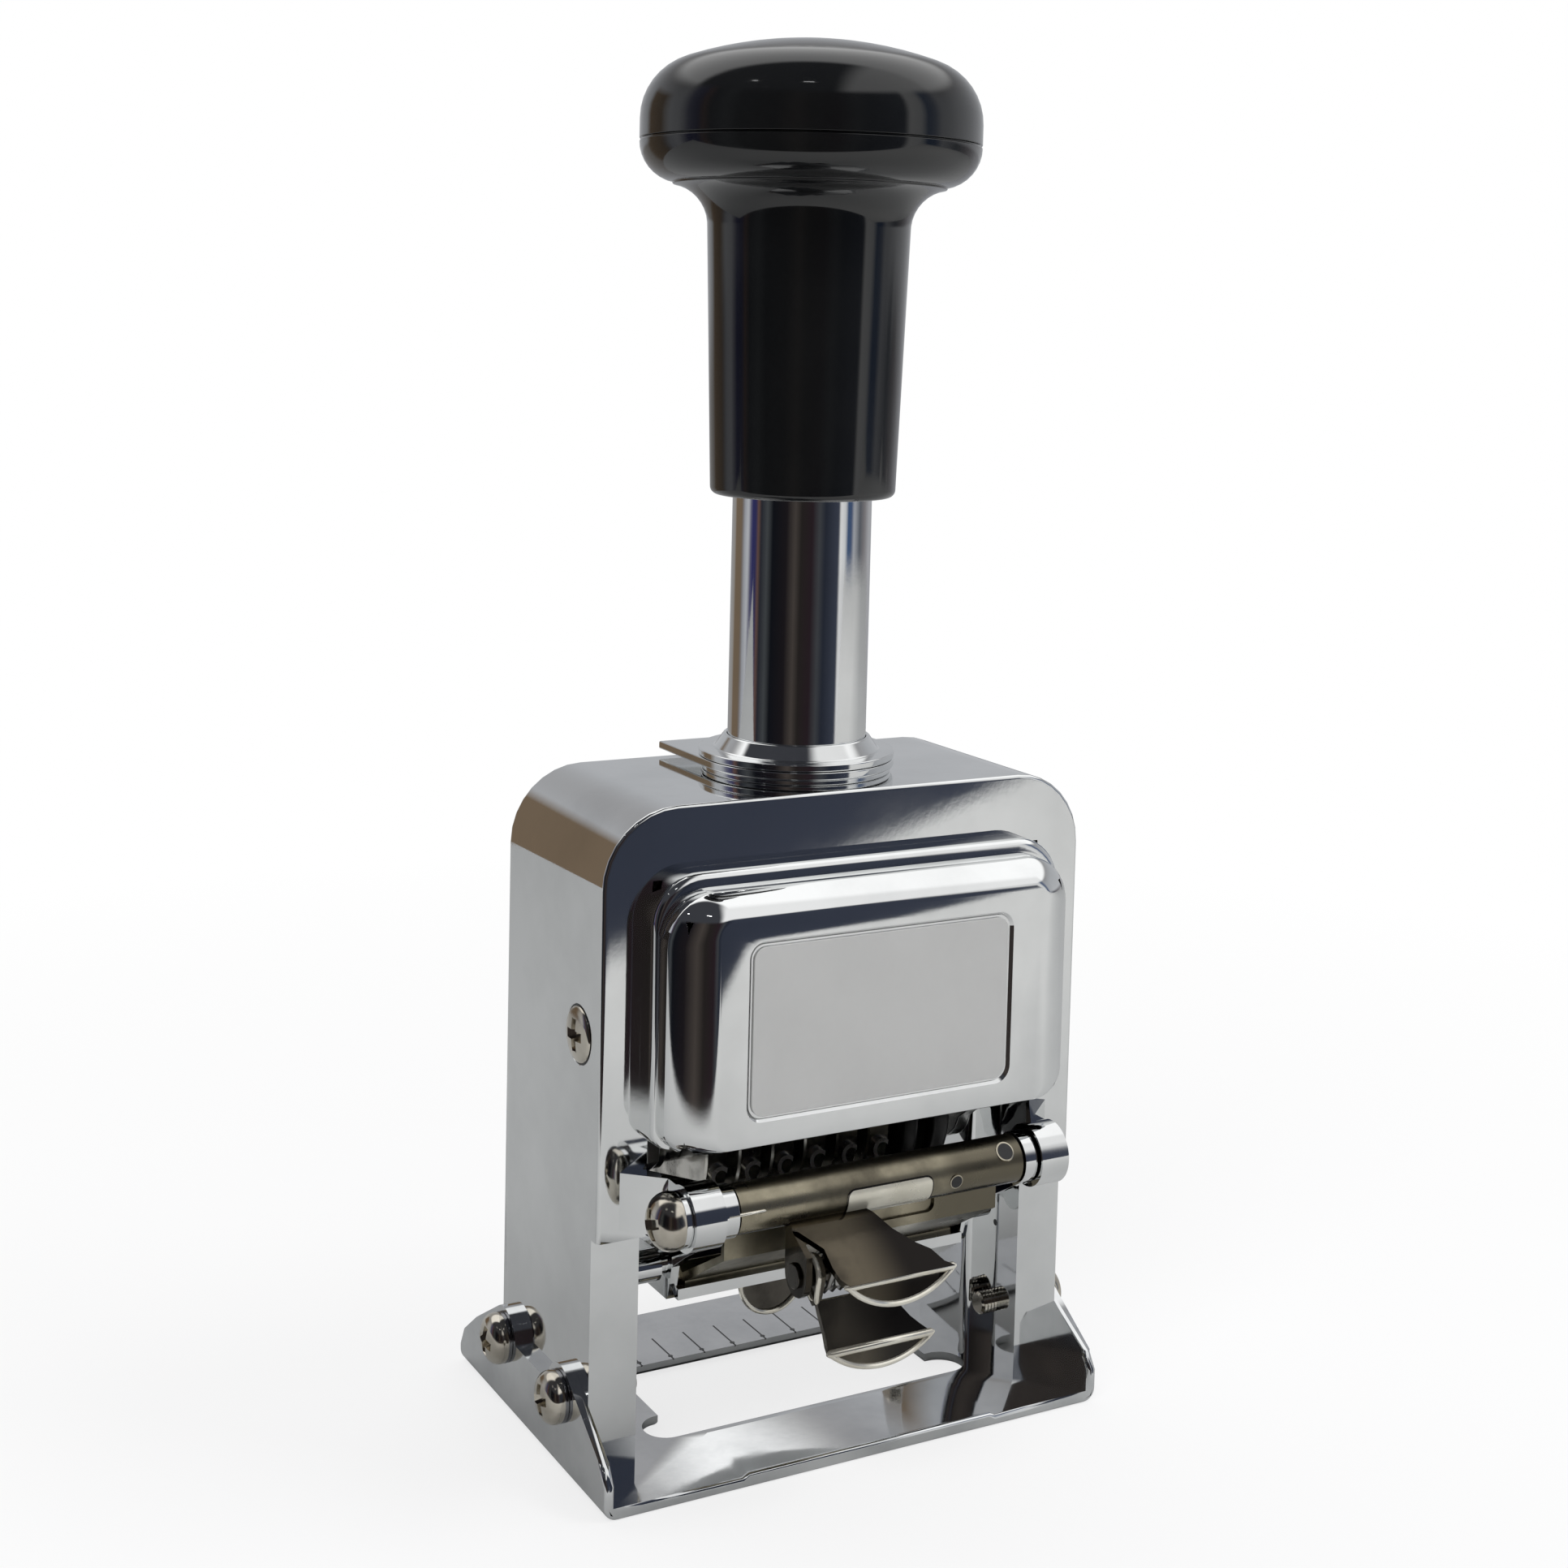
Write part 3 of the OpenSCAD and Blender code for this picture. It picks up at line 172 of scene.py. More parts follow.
# Fine rubbed lines that run along one direction of a piece
def buildScratches(s):
    group, given, made = newGroup(
        "scratches",
        [("Stretch", "NodeSocketVector", (1.0, 1.0, 1.0)), ("Scale", "NodeSocketFloat", 600.0)],
        [("Height", "NodeSocketFloat")],
    )
    coords = addNode(group, "TexCoord").outputs["Object"]
    stretch = addNode(group, "VectorMath", {0: coords, 1: given["Stretch"]}, operation="MULTIPLY")
    noise = addNode(group, "TexNoise", {
        "Vector": stretch.outputs["Vector"], "Scale": given["Scale"], "Detail": s["detail"],
    })
    feed(made, {"Height": noise.outputs["Fac"]})
    return group


# Bump of pressed sheet: slow waves with the fine lines laid over them
def buildSurface(s):
    group, given, made = newGroup(
        "surface",
        [
            ("Wave Scale", "NodeSocketFloat", 30.0), ("Wave Depth", "NodeSocketFloat", 0.0001),
            ("Line Depth", "NodeSocketFloat", 0.00001), ("Lines", "NodeSocketFloat", 0.5),
        ],
        [("Normal", "NodeSocketVector")],
    )
    noise = addNode(group, "TexNoise", {
        "Vector": addNode(group, "TexCoord").outputs["Object"], "Scale": given["Wave Scale"],
        "Detail": s["detail"],
    })
    waves = addMath(group, "MULTIPLY", noise.outputs["Fac"], given["Wave Depth"])
    lines = addMath(group, "MULTIPLY", given["Lines"], given["Line Depth"])
    height = addMath(group, "ADD", waves, lines)
    bump = addNode(group, "Bump", {"Height": height, "Strength": s["strength"], "Distance": s["distance"]})
    feed(made, {"Normal": bump.outputs["Normal"]})
    return group


smudges = buildSmudges(effectSettings["smudges"])
scratches = buildScratches(effectSettings["scratches"])
surface = buildSurface(effectSettings["surface"])


def useGroup(tree, group, inputs):
    return addNode(tree, "Group", inputs, node_tree=group).outputs


# Painted shade: a sheet is darkened towards its right-hand side, from one place in millimetres to the other
def addInk(tree, mask, ends):
    coords = addNode(tree, "TexCoord").outputs["Object"]
    across = addNode(tree, "SeparateXYZ", {"Vector": coords}).outputs["X"]
    paintedShade = addShare(tree, across, ends[0] * mm, ends[1] * mm, soft=True)
    return addMath(tree, "MAXIMUM", paintedShade, mask)


# What a finish has where its own row does not say
plainFinish = {
    "metallic": 0.0, "ior": 1.5, "coat": 0.0, "coatRoughness": 0.03, "stretch": (1.0, 1.0, 1.0),
    "lineScale": 900.0, "waveScale": 30.0, "waveDepth": 0.0, "lineDepth": 0.0,
}


# One finish: tint varies between two colours with the smudge mask, and towards the right with painted shade
# where its row gives a span
def makeFinish(name, given):
    s = {**plainFinish, **given}
    material = bpy.data.materials.new(name)
    material.use_nodes = True
    tree = material.node_tree
    low, high = s["roughness"]
    patches = useGroup(tree, smudges, {"Scale": s["patchScale"], "Low": low, "High": high})
    rubbed = useGroup(tree, scratches, {"Stretch": s["stretch"], "Scale": s["lineScale"]})
    relief = useGroup(tree, surface, {
        "Wave Scale": s["waveScale"], "Wave Depth": s["waveDepth"] * mm, "Line Depth": s["lineDepth"] * mm,
        "Lines": rubbed["Height"],
    })
    mask = addInk(tree, patches["Mask"], s["paintedShade"]) if "paintedShade" in s else patches["Mask"]
    feed(tree.nodes["Principled BSDF"], {
        "Base Color": addMix(tree, mask, s["tint"], s["stain"]), "Roughness": patches["Roughness"],
        "Metallic": s["metallic"], "IOR": s["ior"], "Normal": relief["Normal"],
        "Coat Weight": s["coat"], "Coat Roughness": s["coatRoughness"],
    })
    return material


finishSettings = {
    "chrome": {
        "metallic": 1.0, "tint": (0.84, 0.85, 0.85), "stain": (0.75, 0.76, 0.76), "roughness": (0.035, 0.075),
        "patchScale": 60.0, "waveScale": 35.0, "waveDepth": 0.02, "lineDepth": 0.0012,
    },
    "chromeSheet": {
        "metallic": 1.0, "tint": (0.80, 0.81, 0.815), "stain": (0.66, 0.675, 0.685),
        "roughness": (0.05, 0.13), "patchScale": 90.0, "waveScale": 45.0, "waveDepth": 0.03,
        "lineDepth": 0.002,
    },
    "nickel": {
        "metallic": 1.0, "tint": (0.50, 0.46, 0.37), "stain": (0.38, 0.34, 0.27), "roughness": (0.13, 0.26),
        "patchScale": 130.0, "waveScale": 80.0, "waveDepth": 0.02, "lineDepth": 0.004,
    },
    # Painted shade: the stain colour is laid on towards the sleeve's right-hand end
    "dullNickel": {
        "metallic": 1.0, "tint": (0.40, 0.36, 0.265), "stain": (0.17, 0.152, 0.112), "roughness": (0.26, 0.4),
        "patchScale": 110.0, "waveScale": 80.0, "waveDepth": 0.02, "lineDepth": 0.004, "paintedShade": (5.5, 10.5),
    },
    # Painted shade: the tongue is the lid's own nickel given a darker tint, with its stain colour laid on
    # towards the right
    "tongueShadedNickel": {
        "metallic": 1.0, "tint": (0.10, 0.085, 0.062), "stain": (0.015, 0.013, 0.012),
        "roughness": (0.08, 0.16), "patchScale": 85.0, "waveScale": 90.0, "waveDepth": 0.06,
        "lineDepth": 0.003, "paintedShade": (-8.5, -1.5),
    },
    # Painted shade: the stain colour is laid on towards the lever's right-hand side
    "leverNickel": {
        "metallic": 0.72, "tint": (0.16, 0.14, 0.105), "stain": (0.028, 0.025, 0.022),
        "roughness": (0.1, 0.2), "patchScale": 95.0, "waveScale": 90.0, "waveDepth": 0.06,
        "lineDepth": 0.003, "paintedShade": (-9.0, -0.5),
    },
    "windowNickel": {
        "metallic": 0.5, "tint": (0.86, 0.83, 0.72), "stain": (0.70, 0.67, 0.56), "roughness": (0.2, 0.32),
        "patchScale": 150.0, "lineDepth": 0.002,
    },
    "tickPaint": {
        "tint": (0.05, 0.052, 0.055), "stain": (0.09, 0.092, 0.095), "roughness": (0.5, 0.7),
        "patchScale": 300.0, "lineDepth": 0.004,
    },
    # Painted highlight: folds and rims brighter than the sheets they belong to
    "highlightNickel": {
        "metallic": 0.75, "tint": (0.93, 0.90, 0.80), "stain": (0.74, 0.70, 0.60), "roughness": (0.12, 0.24),
        "patchScale": 160.0, "waveScale": 120.0, "waveDepth": 0.01, "lineDepth": 0.002,
    },
    "darkNickel": {
        "metallic": 1.0, "tint": (0.12, 0.11, 0.095), "stain": (0.06, 0.055, 0.048), "roughness": (0.16, 0.3),
        "patchScale": 150.0, "waveScale": 80.0, "waveDepth": 0.01, "lineDepth": 0.004,
    },
    "screwNickel": {
        "metallic": 1.0, "tint": (0.66, 0.62, 0.54), "stain": (0.50, 0.46, 0.39), "roughness": (0.09, 0.2),
        "patchScale": 200.0, "waveScale": 150.0, "waveDepth": 0.006, "lineDepth": 0.002,
    },
    "steel": {
        "metallic": 1.0, "tint": (0.50, 0.50, 0.49), "stain": (0.36, 0.35, 0.33), "roughness": (0.2, 0.35),
        "patchScale": 120.0, "stretch": (1.0, 0.05, 1.0), "lineDepth": 0.006,
    },
    # Painted reflection: chrome given a dark tint for the dark room it mirrors
    "chromePaintedDark": {
        "metallic": 1.0, "tint": (0.26, 0.26, 0.27), "stain": (0.16, 0.16, 0.165), "roughness": (0.1, 0.2),
        "patchScale": 200.0, "lineDepth": 0.003,
    },
    "wheelMetal": {
        "metallic": 0.9, "tint": (0.72, 0.70, 0.65), "stain": (0.14, 0.132, 0.12), "roughness": (0.16, 0.32),
        "patchScale": 260.0, "lineDepth": 0.005,
    },
    "figureMetal": {
        "metallic": 0.35, "tint": (0.95, 0.93, 0.88), "stain": (0.70, 0.68, 0.62), "roughness": (0.2, 0.36),
        "patchScale": 240.0, "lineDepth": 0.004,
    },
    "blackGloss": {
        "tint": (0.007, 0.0075, 0.008), "stain": (0.010, 0.0105, 0.011), "roughness": (0.07, 0.12),
        "coat": 0.4, "patchScale": 50.0, "waveScale": 40.0, "waveDepth": 0.008, "lineDepth": 0.0008,
    },
    "blackPlain": {
        "tint": (0.012, 0.012, 0.013), "stain": (0.02, 0.02, 0.02), "roughness": (0.3, 0.45),
        "patchScale": 150.0, "lineDepth": 0.004,
    },
    "label": {
        "tint": (0.66, 0.66, 0.652), "stain": (0.63, 0.63, 0.622), "roughness": (0.3, 0.4),
        "patchScale": 90.0, "lineDepth": 0.001,
    },
    "felt": {
        "tint": (0.02, 0.02, 0.045), "stain": (0.01, 0.01, 0.02), "roughness": (0.85, 0.95),
        "patchScale": 300.0, "lineScale": 2500.0, "lineDepth": 0.12,
    },
}
finishes = {name: makeFinish(name, s) for name, s in finishSettings.items()}
say("finishes made")


# Points nearer than a weld are one, in millimetres; angles in degrees
meshSettings = {"weld": 0.002, "turnedWeld": 0.004, "flat": 0.6, "keen": 35.0, "turnedKeen": 40.0}


# A node's own mesh, with its points welded and its flat faces joined
def mergedCopy(node):
    mesh = bmesh.new()
    mesh.from_mesh(frame["nodes"][node].data)
    bmesh.ops.remove_doubles(mesh, verts=mesh.verts, dist=meshSettings["weld"] * mm)
    flat = math.radians(meshSettings["flat"])
    bmesh.ops.dissolve_limit(
        mesh, angle_limit=flat, verts=mesh.verts, edges=mesh.edges, use_dissolve_boundaries=False
    )
    return mesh


def finishPiece(name, mesh, nodes, finish, edge, steps=3, keen=meshSettings["keen"], square=None):
    body = bodyOf[nodes[0]]
    if square:
        weight = mesh.edges.layers.float.new("bevel_weight_edge")
        for e in mesh.edges:
            middle = (e.verts[0].co + e.verts[1].co) / 2 / mm
            inside = any(all(low[i] <= middle[i] <= high[i] for i in range(3)) for low, high in square)
            e[weight] = 0.0 if e.smooth or inside else 1.0
    for face in mesh.faces:
        face.smooth = True
    data = bpy.data.meshes.new(name)
    mesh.to_mesh(data)
    mesh.free()
    piece = bpy.data.objects.new(name, data)
    scene.collection.objects.link(piece)
    data.materials.append(finishes[finish])
    if edge:
        bevel = piece.modifiers.new("soft edges", "BEVEL")
        bevel.width = edge * mm
        bevel.segments = steps
        bevel.limit_method = "WEIGHT" if square else "ANGLE"
        bevel.use_clamp_overlap = not square
        bevel.angle_limit = math.radians(keen)
        bevel.harden_normals = True
    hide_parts(*nodes)
    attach(piece, body)
    return piece


def sharpen(mesh, keen):
    for e in mesh.edges:
        if len(e.link_faces) == 2 and e.calc_face_angle(0.0) > math.radians(keen):
            e.smooth = False


bodyOf = {}
for bodyName, members in frame["record"]["behaviour"]["bodies"].items():
    for member in members:
        bodyOf[member] = bodyName

# Node: finish, soft edge in millimetres, steps
dressSettings = {
    "frame_body": ("chrome", 0.5, 4),
    "label_plate": ("label", 0.06, 2),
    "rear_cover": ("chrome", 0.5, 3),
    "base_plate": ("chromeSheet", 0.5, 4),
    "collar_seat": ("chrome", 0.2, 2),
    "collar_ring": ("chrome", 0.2, 2),
    "lock_plate": ("chrome", 0.2, 2),
    "cross_bar": ("steel", 0.2, 2),
    "spring_seat": ("steel", 0.1, 2),
    "return_spring": ("steel", 0, 0),
    "front_shaft": ("steel", 0.1, 2),
    "shaft_washer": ("chrome", 0.15, 2),
    "shaft_nut": ("chrome", 0, 0),
    "knob_cap": ("blackGloss", 0.12, 2),
    "knob_body": ("blackGloss", 0.12, 2),
    "plunger_tube": ("chrome", 0, 0),
    "head_bridge": ("steel", 0.3, 2),
    "head_plate_left": ("steel", 0.2, 2),
    "head_plate_right": ("steel", 0.2, 2),
    "wheel_axle": ("steel", 0.1, 2),
    "axle_sleeve_left": ("steel", 0.1, 2),
    "axle_sleeve_right": ("steel", 0.1, 2),
    "wheel_bush": ("steel", 0.1, 2),
    "plain_disc_1": ("blackPlain", 0, 0),
    "plain_disc_2": ("blackPlain", 0, 0),
    "detent_comb": ("steel", 0.08, 2),
    "pawl_yoke": ("steel", 0.1, 2),
    "ink_tray": ("chrome", 0.25, 3),
    "pad_holder": ("nickel", 0.15, 2),
    "ink_pad": ("felt", 0.3, 3),
    "pull_tab": ("darkNickel", 0.15, 2),
    "latch_pin": ("darkNickel", 0.12, 2),
    "latch_spring": ("steel", 0, 0),
}
# Painted reflection: the chrome washers are given a dark tint for the dark room they mirror
washerSettings = {"count": 4, "dress": ("chromePaintedDark", 0.14, 2)}
for i in range(washerSettings["count"]):
    dressSettings[f"base_washer_{i + 1}"] = washerSettings["dress"]

keenOf = {"knob_cap": 62.0, "knob_body": 62.0}
# Small cuts that stay square, as boxes in millimetres
squareOf = {
    "base_plate": [((-34.0, -20.5, 0.4), (34.0, 24.5, 14.0)), ((-36.0, -20.0, 2.0), (36.0, 24.0, 14.0))],
    "frame_body": [((-33.0, -30.0, 0.0), (33.0, 30.0, 76.0)), ((-40.0, -15.2, 0.0), (40.0, 13.5, 90.0))],
}
# The return spring gets a mesh of its own
springSettings = {"node": "return_spring", "joint": "plunger_press", "stroke": 26.0}
for node, (finish, edge, steps) in dressSettings.items():
    mesh = mergedCopy(node)
    keen = keenOf.get(node, meshSettings["keen"])
    sharpen(mesh, keen)
    piece = finishPiece("dressed_" + node, mesh, [node], finish, edge, steps, keen, squareOf.get(node))
    if node == springSettings["node"]:
        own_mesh(piece)
say("nodes dressed")


def setPiece(name, mesh, nodes, finish, edge=0, steps=2, keen=meshSettings["keen"]):
    bmesh.ops.remove_doubles(mesh, verts=mesh.verts, dist=meshSettings["weld"] * mm)
    bmesh.ops.recalc_face_normals(mesh, faces=mesh.faces)
    sharpen(mesh, keen)
    return finishPiece(name, mesh, nodes, finish, edge, steps, keen)


# A piece with other pieces' shapes cut out of it
def cutAway(mesh, *cutters):
    solids = []
    for part in (mesh, *cutters):
        bmesh.ops.recalc_face_normals(part, faces=part.faces)
        data = bpy.data.meshes.new("cut")
        part.to_mesh(data)
        part.free()
        solids.append(bpy.data.objects.new("cut", data))
        scene.collection.objects.link(solids[-1])
    for cutter in solids[1:]:
        cut = solids[0].modifiers.new("cut", "BOOLEAN")
        cut.object = cutter
        cut.solver = "EXACT"
    bpy.context.view_layer.update()
    result = bmesh.new()
    result.from_mesh(solids[0].evaluated_get(bpy.context.evaluated_depsgraph_get()).to_mesh())
    for solid in solids:
        bpy.data.objects.remove(solid)
    return result


def makeBlock(low, high):
    mesh = bmesh.new()
    size = Vector(high) - Vector(low)
    middle = (Vector(high) + Vector(low)) / 2
    place = Matrix.Translation(middle * mm) @ Matrix.Diagonal((*(size * mm), 1.0))
    bmesh.ops.create_cube(mesh, size=1.0, matrix=place)
    return mesh


# A row of points in millimetres, turned once round a line along X, as on a lathe
def turned(points, steps, middle=(0.0, 0.0, 0.0)):
    mesh = bmesh.new()
    chain = [mesh.verts.new(Vector(p) * mm) for p in points]
    edges = [mesh.edges.new(pair) for pair in zip(chain, chain[1:])]
    bmesh.ops.spin(
        mesh, geom=chain + edges, cent=Vector(middle) * mm, axis=(1.0, 0.0, 0.0), dvec=(0.0, 0.0, 0.0),
        angle=2 * math.pi, steps=steps, use_merge=True,
    )
    return mesh


# Closed rings of the same count, joined into one skin with flat ends
def joinRings(mesh, rings):
    skins = [[mesh.verts.new(Vector(p) * mm) for p in ring] for ring in rings]
    for a, b in zip(skins, skins[1:]):
        for i in range(len(a)):
            j = (i + 1) % len(a)
            mesh.faces.new((a[i], a[j], b[j], b[i]))
    mesh.faces.new(skins[0])
    mesh.faces.new(list(reversed(skins[-1])))


# Rounded box outline in x and z, counted round from the lower right
def roundedBox(left, right, low, high, lowR, highR, steps=10):
    corners = (
        (right - lowR, low + lowR, lowR, -90), (right - highR, high - highR, highR, 0),
        (left + highR, high - highR, highR, 90), (left + lowR, low + lowR, lowR, 180),
    )
    points = []
    for x, z, r, start in corners:
        for i in range(steps + 1):
            t = math.radians(start + 90 * i / steps)
            points.append((x + r * math.cos(t), z + r * math.sin(t)))
    return points


# Points round a circle, as pairs of across and up
def circlePoints(middle, r, steps):
    angles = [2 * math.pi * k / steps for k in range(steps)]
    return [(middle[0] + r * math.cos(t), middle[1] + r * math.sin(t)) for t in angles]


# Front cover: a thin step on the frame, then a soft pillow with a flat face for the label
coverSettings = {
    "back": -15.4, "step": -18.9, "wall": -21.0, "face": -24.56,
    "low": 42.3, "stepTop": 74.9, "stepHalf": 28.7, "stepCorner": 6.2, "stepLowCorner": 2.2,
    "top": 73.2, "half": 28.1, "corner": 6.2, "lowCorner": 3.4,
    "sideSlope": 5.2, "topSlope": 2.9, "lowSlope": 0.9, "faceCorner": 1.8,
    "edge": 0.45, "topEdge": 1.25, "edgeSteps": 6, "curve": 18,
    "bulge": ((0.0, 0.0), (0.12, 0.40), (0.74, 1.0), (1.0, 1.0)),
    "lap": 0.02, "lapLow": 0.01, "lapDeep": 0.05, "wallThick": 1.8, "recess": 0.35, "recessSlope": 0.42,
    "overrun": 1.0, "brim": 0.01, "labelBox": (-18.75, 17.45, 46.35, 67.25), "labelCorner": 1.75,
    "tongue": {"x": (21.2, 22.7), "y": (-17.0, -6.5), "z": (50.0, 58.6), "soft": 0.2},
    "soft": 0.1, "softSteps": 3, "keen": 25.0,
}


def bezier(points, t):
    a, b, c, d = (Vector((*p, 0.0)) for p in points)
    u = 1.0 - t
    return (a * u ** 3 + b * 3 * u * u * t + c * 3 * u * t * t + d * t ** 3).xy


def makeCover(s):
    rings = []

    def ring(y, half, low, top, lowR, highR):
        rings.append([(x, y, z) for x, z in roundedBox(-half, half, low, top, lowR, highR)])

    ring(s["back"], s["stepHalf"], s["low"], s["stepTop"], s["stepLowCorner"], s["stepCorner"])
    for i in range(s["edgeSteps"] + 1):
        t = math.pi / 2 * i / s["edgeSteps"]
        inset = 1 - math.cos(t)
        ring(
            s["step"] + s["topEdge"] * (1 - math.sin(t)), s["stepHalf"] - s["edge"] * inset, s["low"],
            s["stepTop"] - s["topEdge"] * inset, s["stepLowCorner"], s["stepCorner"],
        )
    lap = s["lap"]
    ring(s["step"], s["half"] + lap, s["low"] + s["lapLow"], s["top"] + lap, s["lowCorner"], s["corner"])
    ring(s["step"] - s["lapDeep"], s["half"], s["low"], s["top"], s["lowCorner"], s["corner"])
    for i in range(s["curve"] + 1):
        inset, depth = bezier(s["bulge"], i / s["curve"])
        ring(
            s["wall"] + (s["face"] - s["wall"]) * depth, s["half"] - s["sideSlope"] * inset,
            s["low"] + s["lowSlope"] * inset, s["top"] - s["topSlope"] * inset,
            s["lowCorner"] + (s["faceCorner"] - s["lowCorner"]) * inset,
            s["corner"] + (s["faceCorner"] - s["corner"]) * inset,
        )
    mesh = bmesh.new()
    joinRings(mesh, rings)
    hollow = makeBlock(
        (-s["half"] + s["wallThick"], s["face"] + s["wallThick"], s["low"] - s["overrun"]),
        (s["half"] - s["wallThick"], s["back"] + s["overrun"], s["top"] - s["topSlope"]),
    )
    left, right, low, high = s["labelBox"]
    recess = bmesh.new()
    layers = []
    for y, grow in ((-s["overrun"], s["recessSlope"]), (-s["brim"], s["recessSlope"]), (s["recess"], 0.0)):
        corner = s["labelCorner"] + grow
        outline = roundedBox(left - grow, right + grow, low - grow, high + grow, corner, corner)
        layers.append([(x, s["face"] + y, z) for x, z in outline])
    joinRings(recess, layers)
    mesh = cutAway(mesh, hollow, recess)
    setPiece("softCover", mesh, ["front_cover"], "chrome", s["soft"], s["softSteps"], s["keen"])
    tongue = s["tongue"]
    front, back = tongue["y"]
    low, high = tongue["z"]
    for side in (-1, 1):
        ends = sorted(side * x for x in tongue["x"])
        ear = makeBlock((ends[0], front, low), (ends[1], back, high))
        setPiece("coverEar", ear, ["front_cover"], "chrome", tongue["soft"])


makeCover(coverSettings)
say("front cover made")


# Screws with pan or oval heads, a cut cross and turned threads
screwSettings = {
    "pan": {"headR": 3.2, "headH": 2.3, "bow": 2.5, "rim": 0.35, "shankR": 1.5, "shankL": 10.2},
    "shaft": {"headR": 3.45, "headH": 3.3, "bow": 2.2, "rim": 0.5, "shankR": 1.4, "shankL": 1.2},
    "rear": {"headR": 2.6, "headH": 1.6, "bow": 2.4, "rim": 0.2, "shankR": 1.2, "shankL": 5.8},
    "oval": {"headR": 3.4, "headH": 0.8, "bow": 2.0, "rim": 0.05, "shankR": 1.6, "shankL": 6.0, "sink": 1.9},
    "crossLong": 0.72, "crossWide": 0.2, "crossDeep": 1.05, "crossTaper": (0.6, 0.55), "overrun": 0.5,
    "pitch": 0.5, "thread": 0.14, "underHead": 0.08, "bowSteps": 12, "steps": 48, "soft": 0.07,
}


def makeScrew(name, node, kind, seat, axis, turn):
    shared = screwSettings
    s = shared[kind]
    points = [(-s["shankL"], 0.0), (-s["shankL"], s["shankR"] - shared["thread"] * 2)]
    along = -s["shankL"] + shared["pitch"] / 2
    while along < -s.get("sink", 0.0) - shared["pitch"]:
        points.append((along, s["shankR"]))
        points.append((along + shared["pitch"] / 2, s["shankR"] - shared["thread"]))
        along += shared["pitch"]
    points.append((-s.get("sink", 0.0), s["shankR"]))
    points.append((0.0, s["headR"] - shared["underHead"]))
    for i in range(shared["bowSteps"] + 1):
        t = i / shared["bowSteps"] * math.pi / 2
        points.append((
            s["rim"] + (s["headH"] - s["rim"]) * math.sin(t) ** (2 / s["bow"]),
            s["headR"] * math.cos(t) ** (2 / s["bow"]),
        ))
    mesh = turned([(x, r, 0.0) for x, r in points], shared["steps"])
    bmesh.ops.remove_doubles(mesh, verts=mesh.verts, dist=meshSettings["turnedWeld"] * mm)
    cutters = []
    reach = s["headR"] * shared["crossLong"]
    wide = s["headR"] * shared["crossWide"]
    top = s["headH"]
    narrow, short = shared["crossTaper"]
    for spin in (0, 90):
        slot = makeBlock((top - shared["crossDeep"], -wide, -reach), (top + shared["overrun"], wide, reach))
        for v in slot.verts:
            if v.co.x < top * mm:
                v.co.y *= narrow
                v.co.z *= short
        bmesh.ops.rotate(slot, verts=slot.verts, matrix=Matrix.Rotation(math.radians(spin + turn), 3, "X"))
        cutters.append(slot)
    mesh = cutAway(mesh, *cutters)
    aim = Vector(axis).to_track_quat("X", "Z").to_matrix().to_4x4()
    bmesh.ops.transform(mesh, verts=mesh.verts, matrix=Matrix.Translation(seat) @ aim)
    setPiece(name, mesh, [node], "screwNickel", shared["soft"], keen=meshSettings["turnedKeen"])


# The head's seat is found from the CAD screw's own box
def screwAt(node, kind, axis, turn):
    low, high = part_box(node)
    middle = (low + high) / 2
    out = Vector(axis)
    tip = Vector([high[i] if out[i] > 0 else low[i] if out[i] < 0 else middle[i] for i in range(3)])
    makeScrew("cross_" + node, node, kind, tip - out * screwSettings[kind]["headH"] * mm, axis, turn)


# Node: kind, the way that its head faces, turn of its cross in degrees
screwPlaces = {
    "base_screw_1": ("pan", (-1, 0, 0), 12),
    "rear_screw_1": ("rear", (0, 1, 0), 24),
    "base_screw_2": ("pan", (-1, 0, 0), -8),
    "rear_screw_2": ("rear", (0, 1, 0), -16),
    "base_screw_3": ("pan", (1, 0, 0), 30),
    "rear_screw_3": ("rear", (0, 1, 0), 60),
    "base_screw_4": ("pan", (1, 0, 0), 55),
    "rear_screw_4": ("rear", (0, 1, 0), 110),
    "shaft_screw": ("shaft", (-1, 0, 0), 20),
    "side_screw_left": ("oval", (-1, 0, 0), 3),
    "side_screw_right": ("oval", (1, 0, 0), 40),
}
for node, (kind, axis, turn) in screwPlaces.items():
    screwAt(node, kind, axis, turn)


# Painted shade: a black ring round each side screw's head, in its sink, where the gap falls in shadow
sinkShadeSettings = {"inner": 3.36, "outer": 3.74, "under": 0.03, "deep": 0.3, "steps": 48}


def makeGap(side, s):
    node = f"side_screw_{side}"
    low, high = (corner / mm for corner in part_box(node))
    out = -1 if side == "left" else 1
    face = (high.x if out > 0 else low.x) - out * (screwSettings["oval"]["headH"] + s["under"])
    middle = (low + high) / 2
    foot = face - out * s["deep"]
    near, far = s["inner"], s["outer"]
    corners = ((face, near), (face, far), (foot, far), (foot, near), (face, near))
    ring = [(x, middle.y, middle.z + r) for x, r in corners]
    setPiece("sinkShade_" + side, turned(ring, s["steps"], middle), [node], "blackPlain")


for side in ("left", "right"):
    makeGap(side, sinkShadeSettings)
say("screws made")


# Setting marks on the base behind the opening, each with a dot at its near end
tickSettings = {
    "count": 7, "first": 12.8, "pitch": 4.65, "near": 10.7, "top": 1.3, "wide": 0.25, "long": 6.7,
    "under": 0.04, "deep": 0.14, "dot": 0.34, "dotSteps": 16, "inset": 0.9, "lift": 0.015,
}


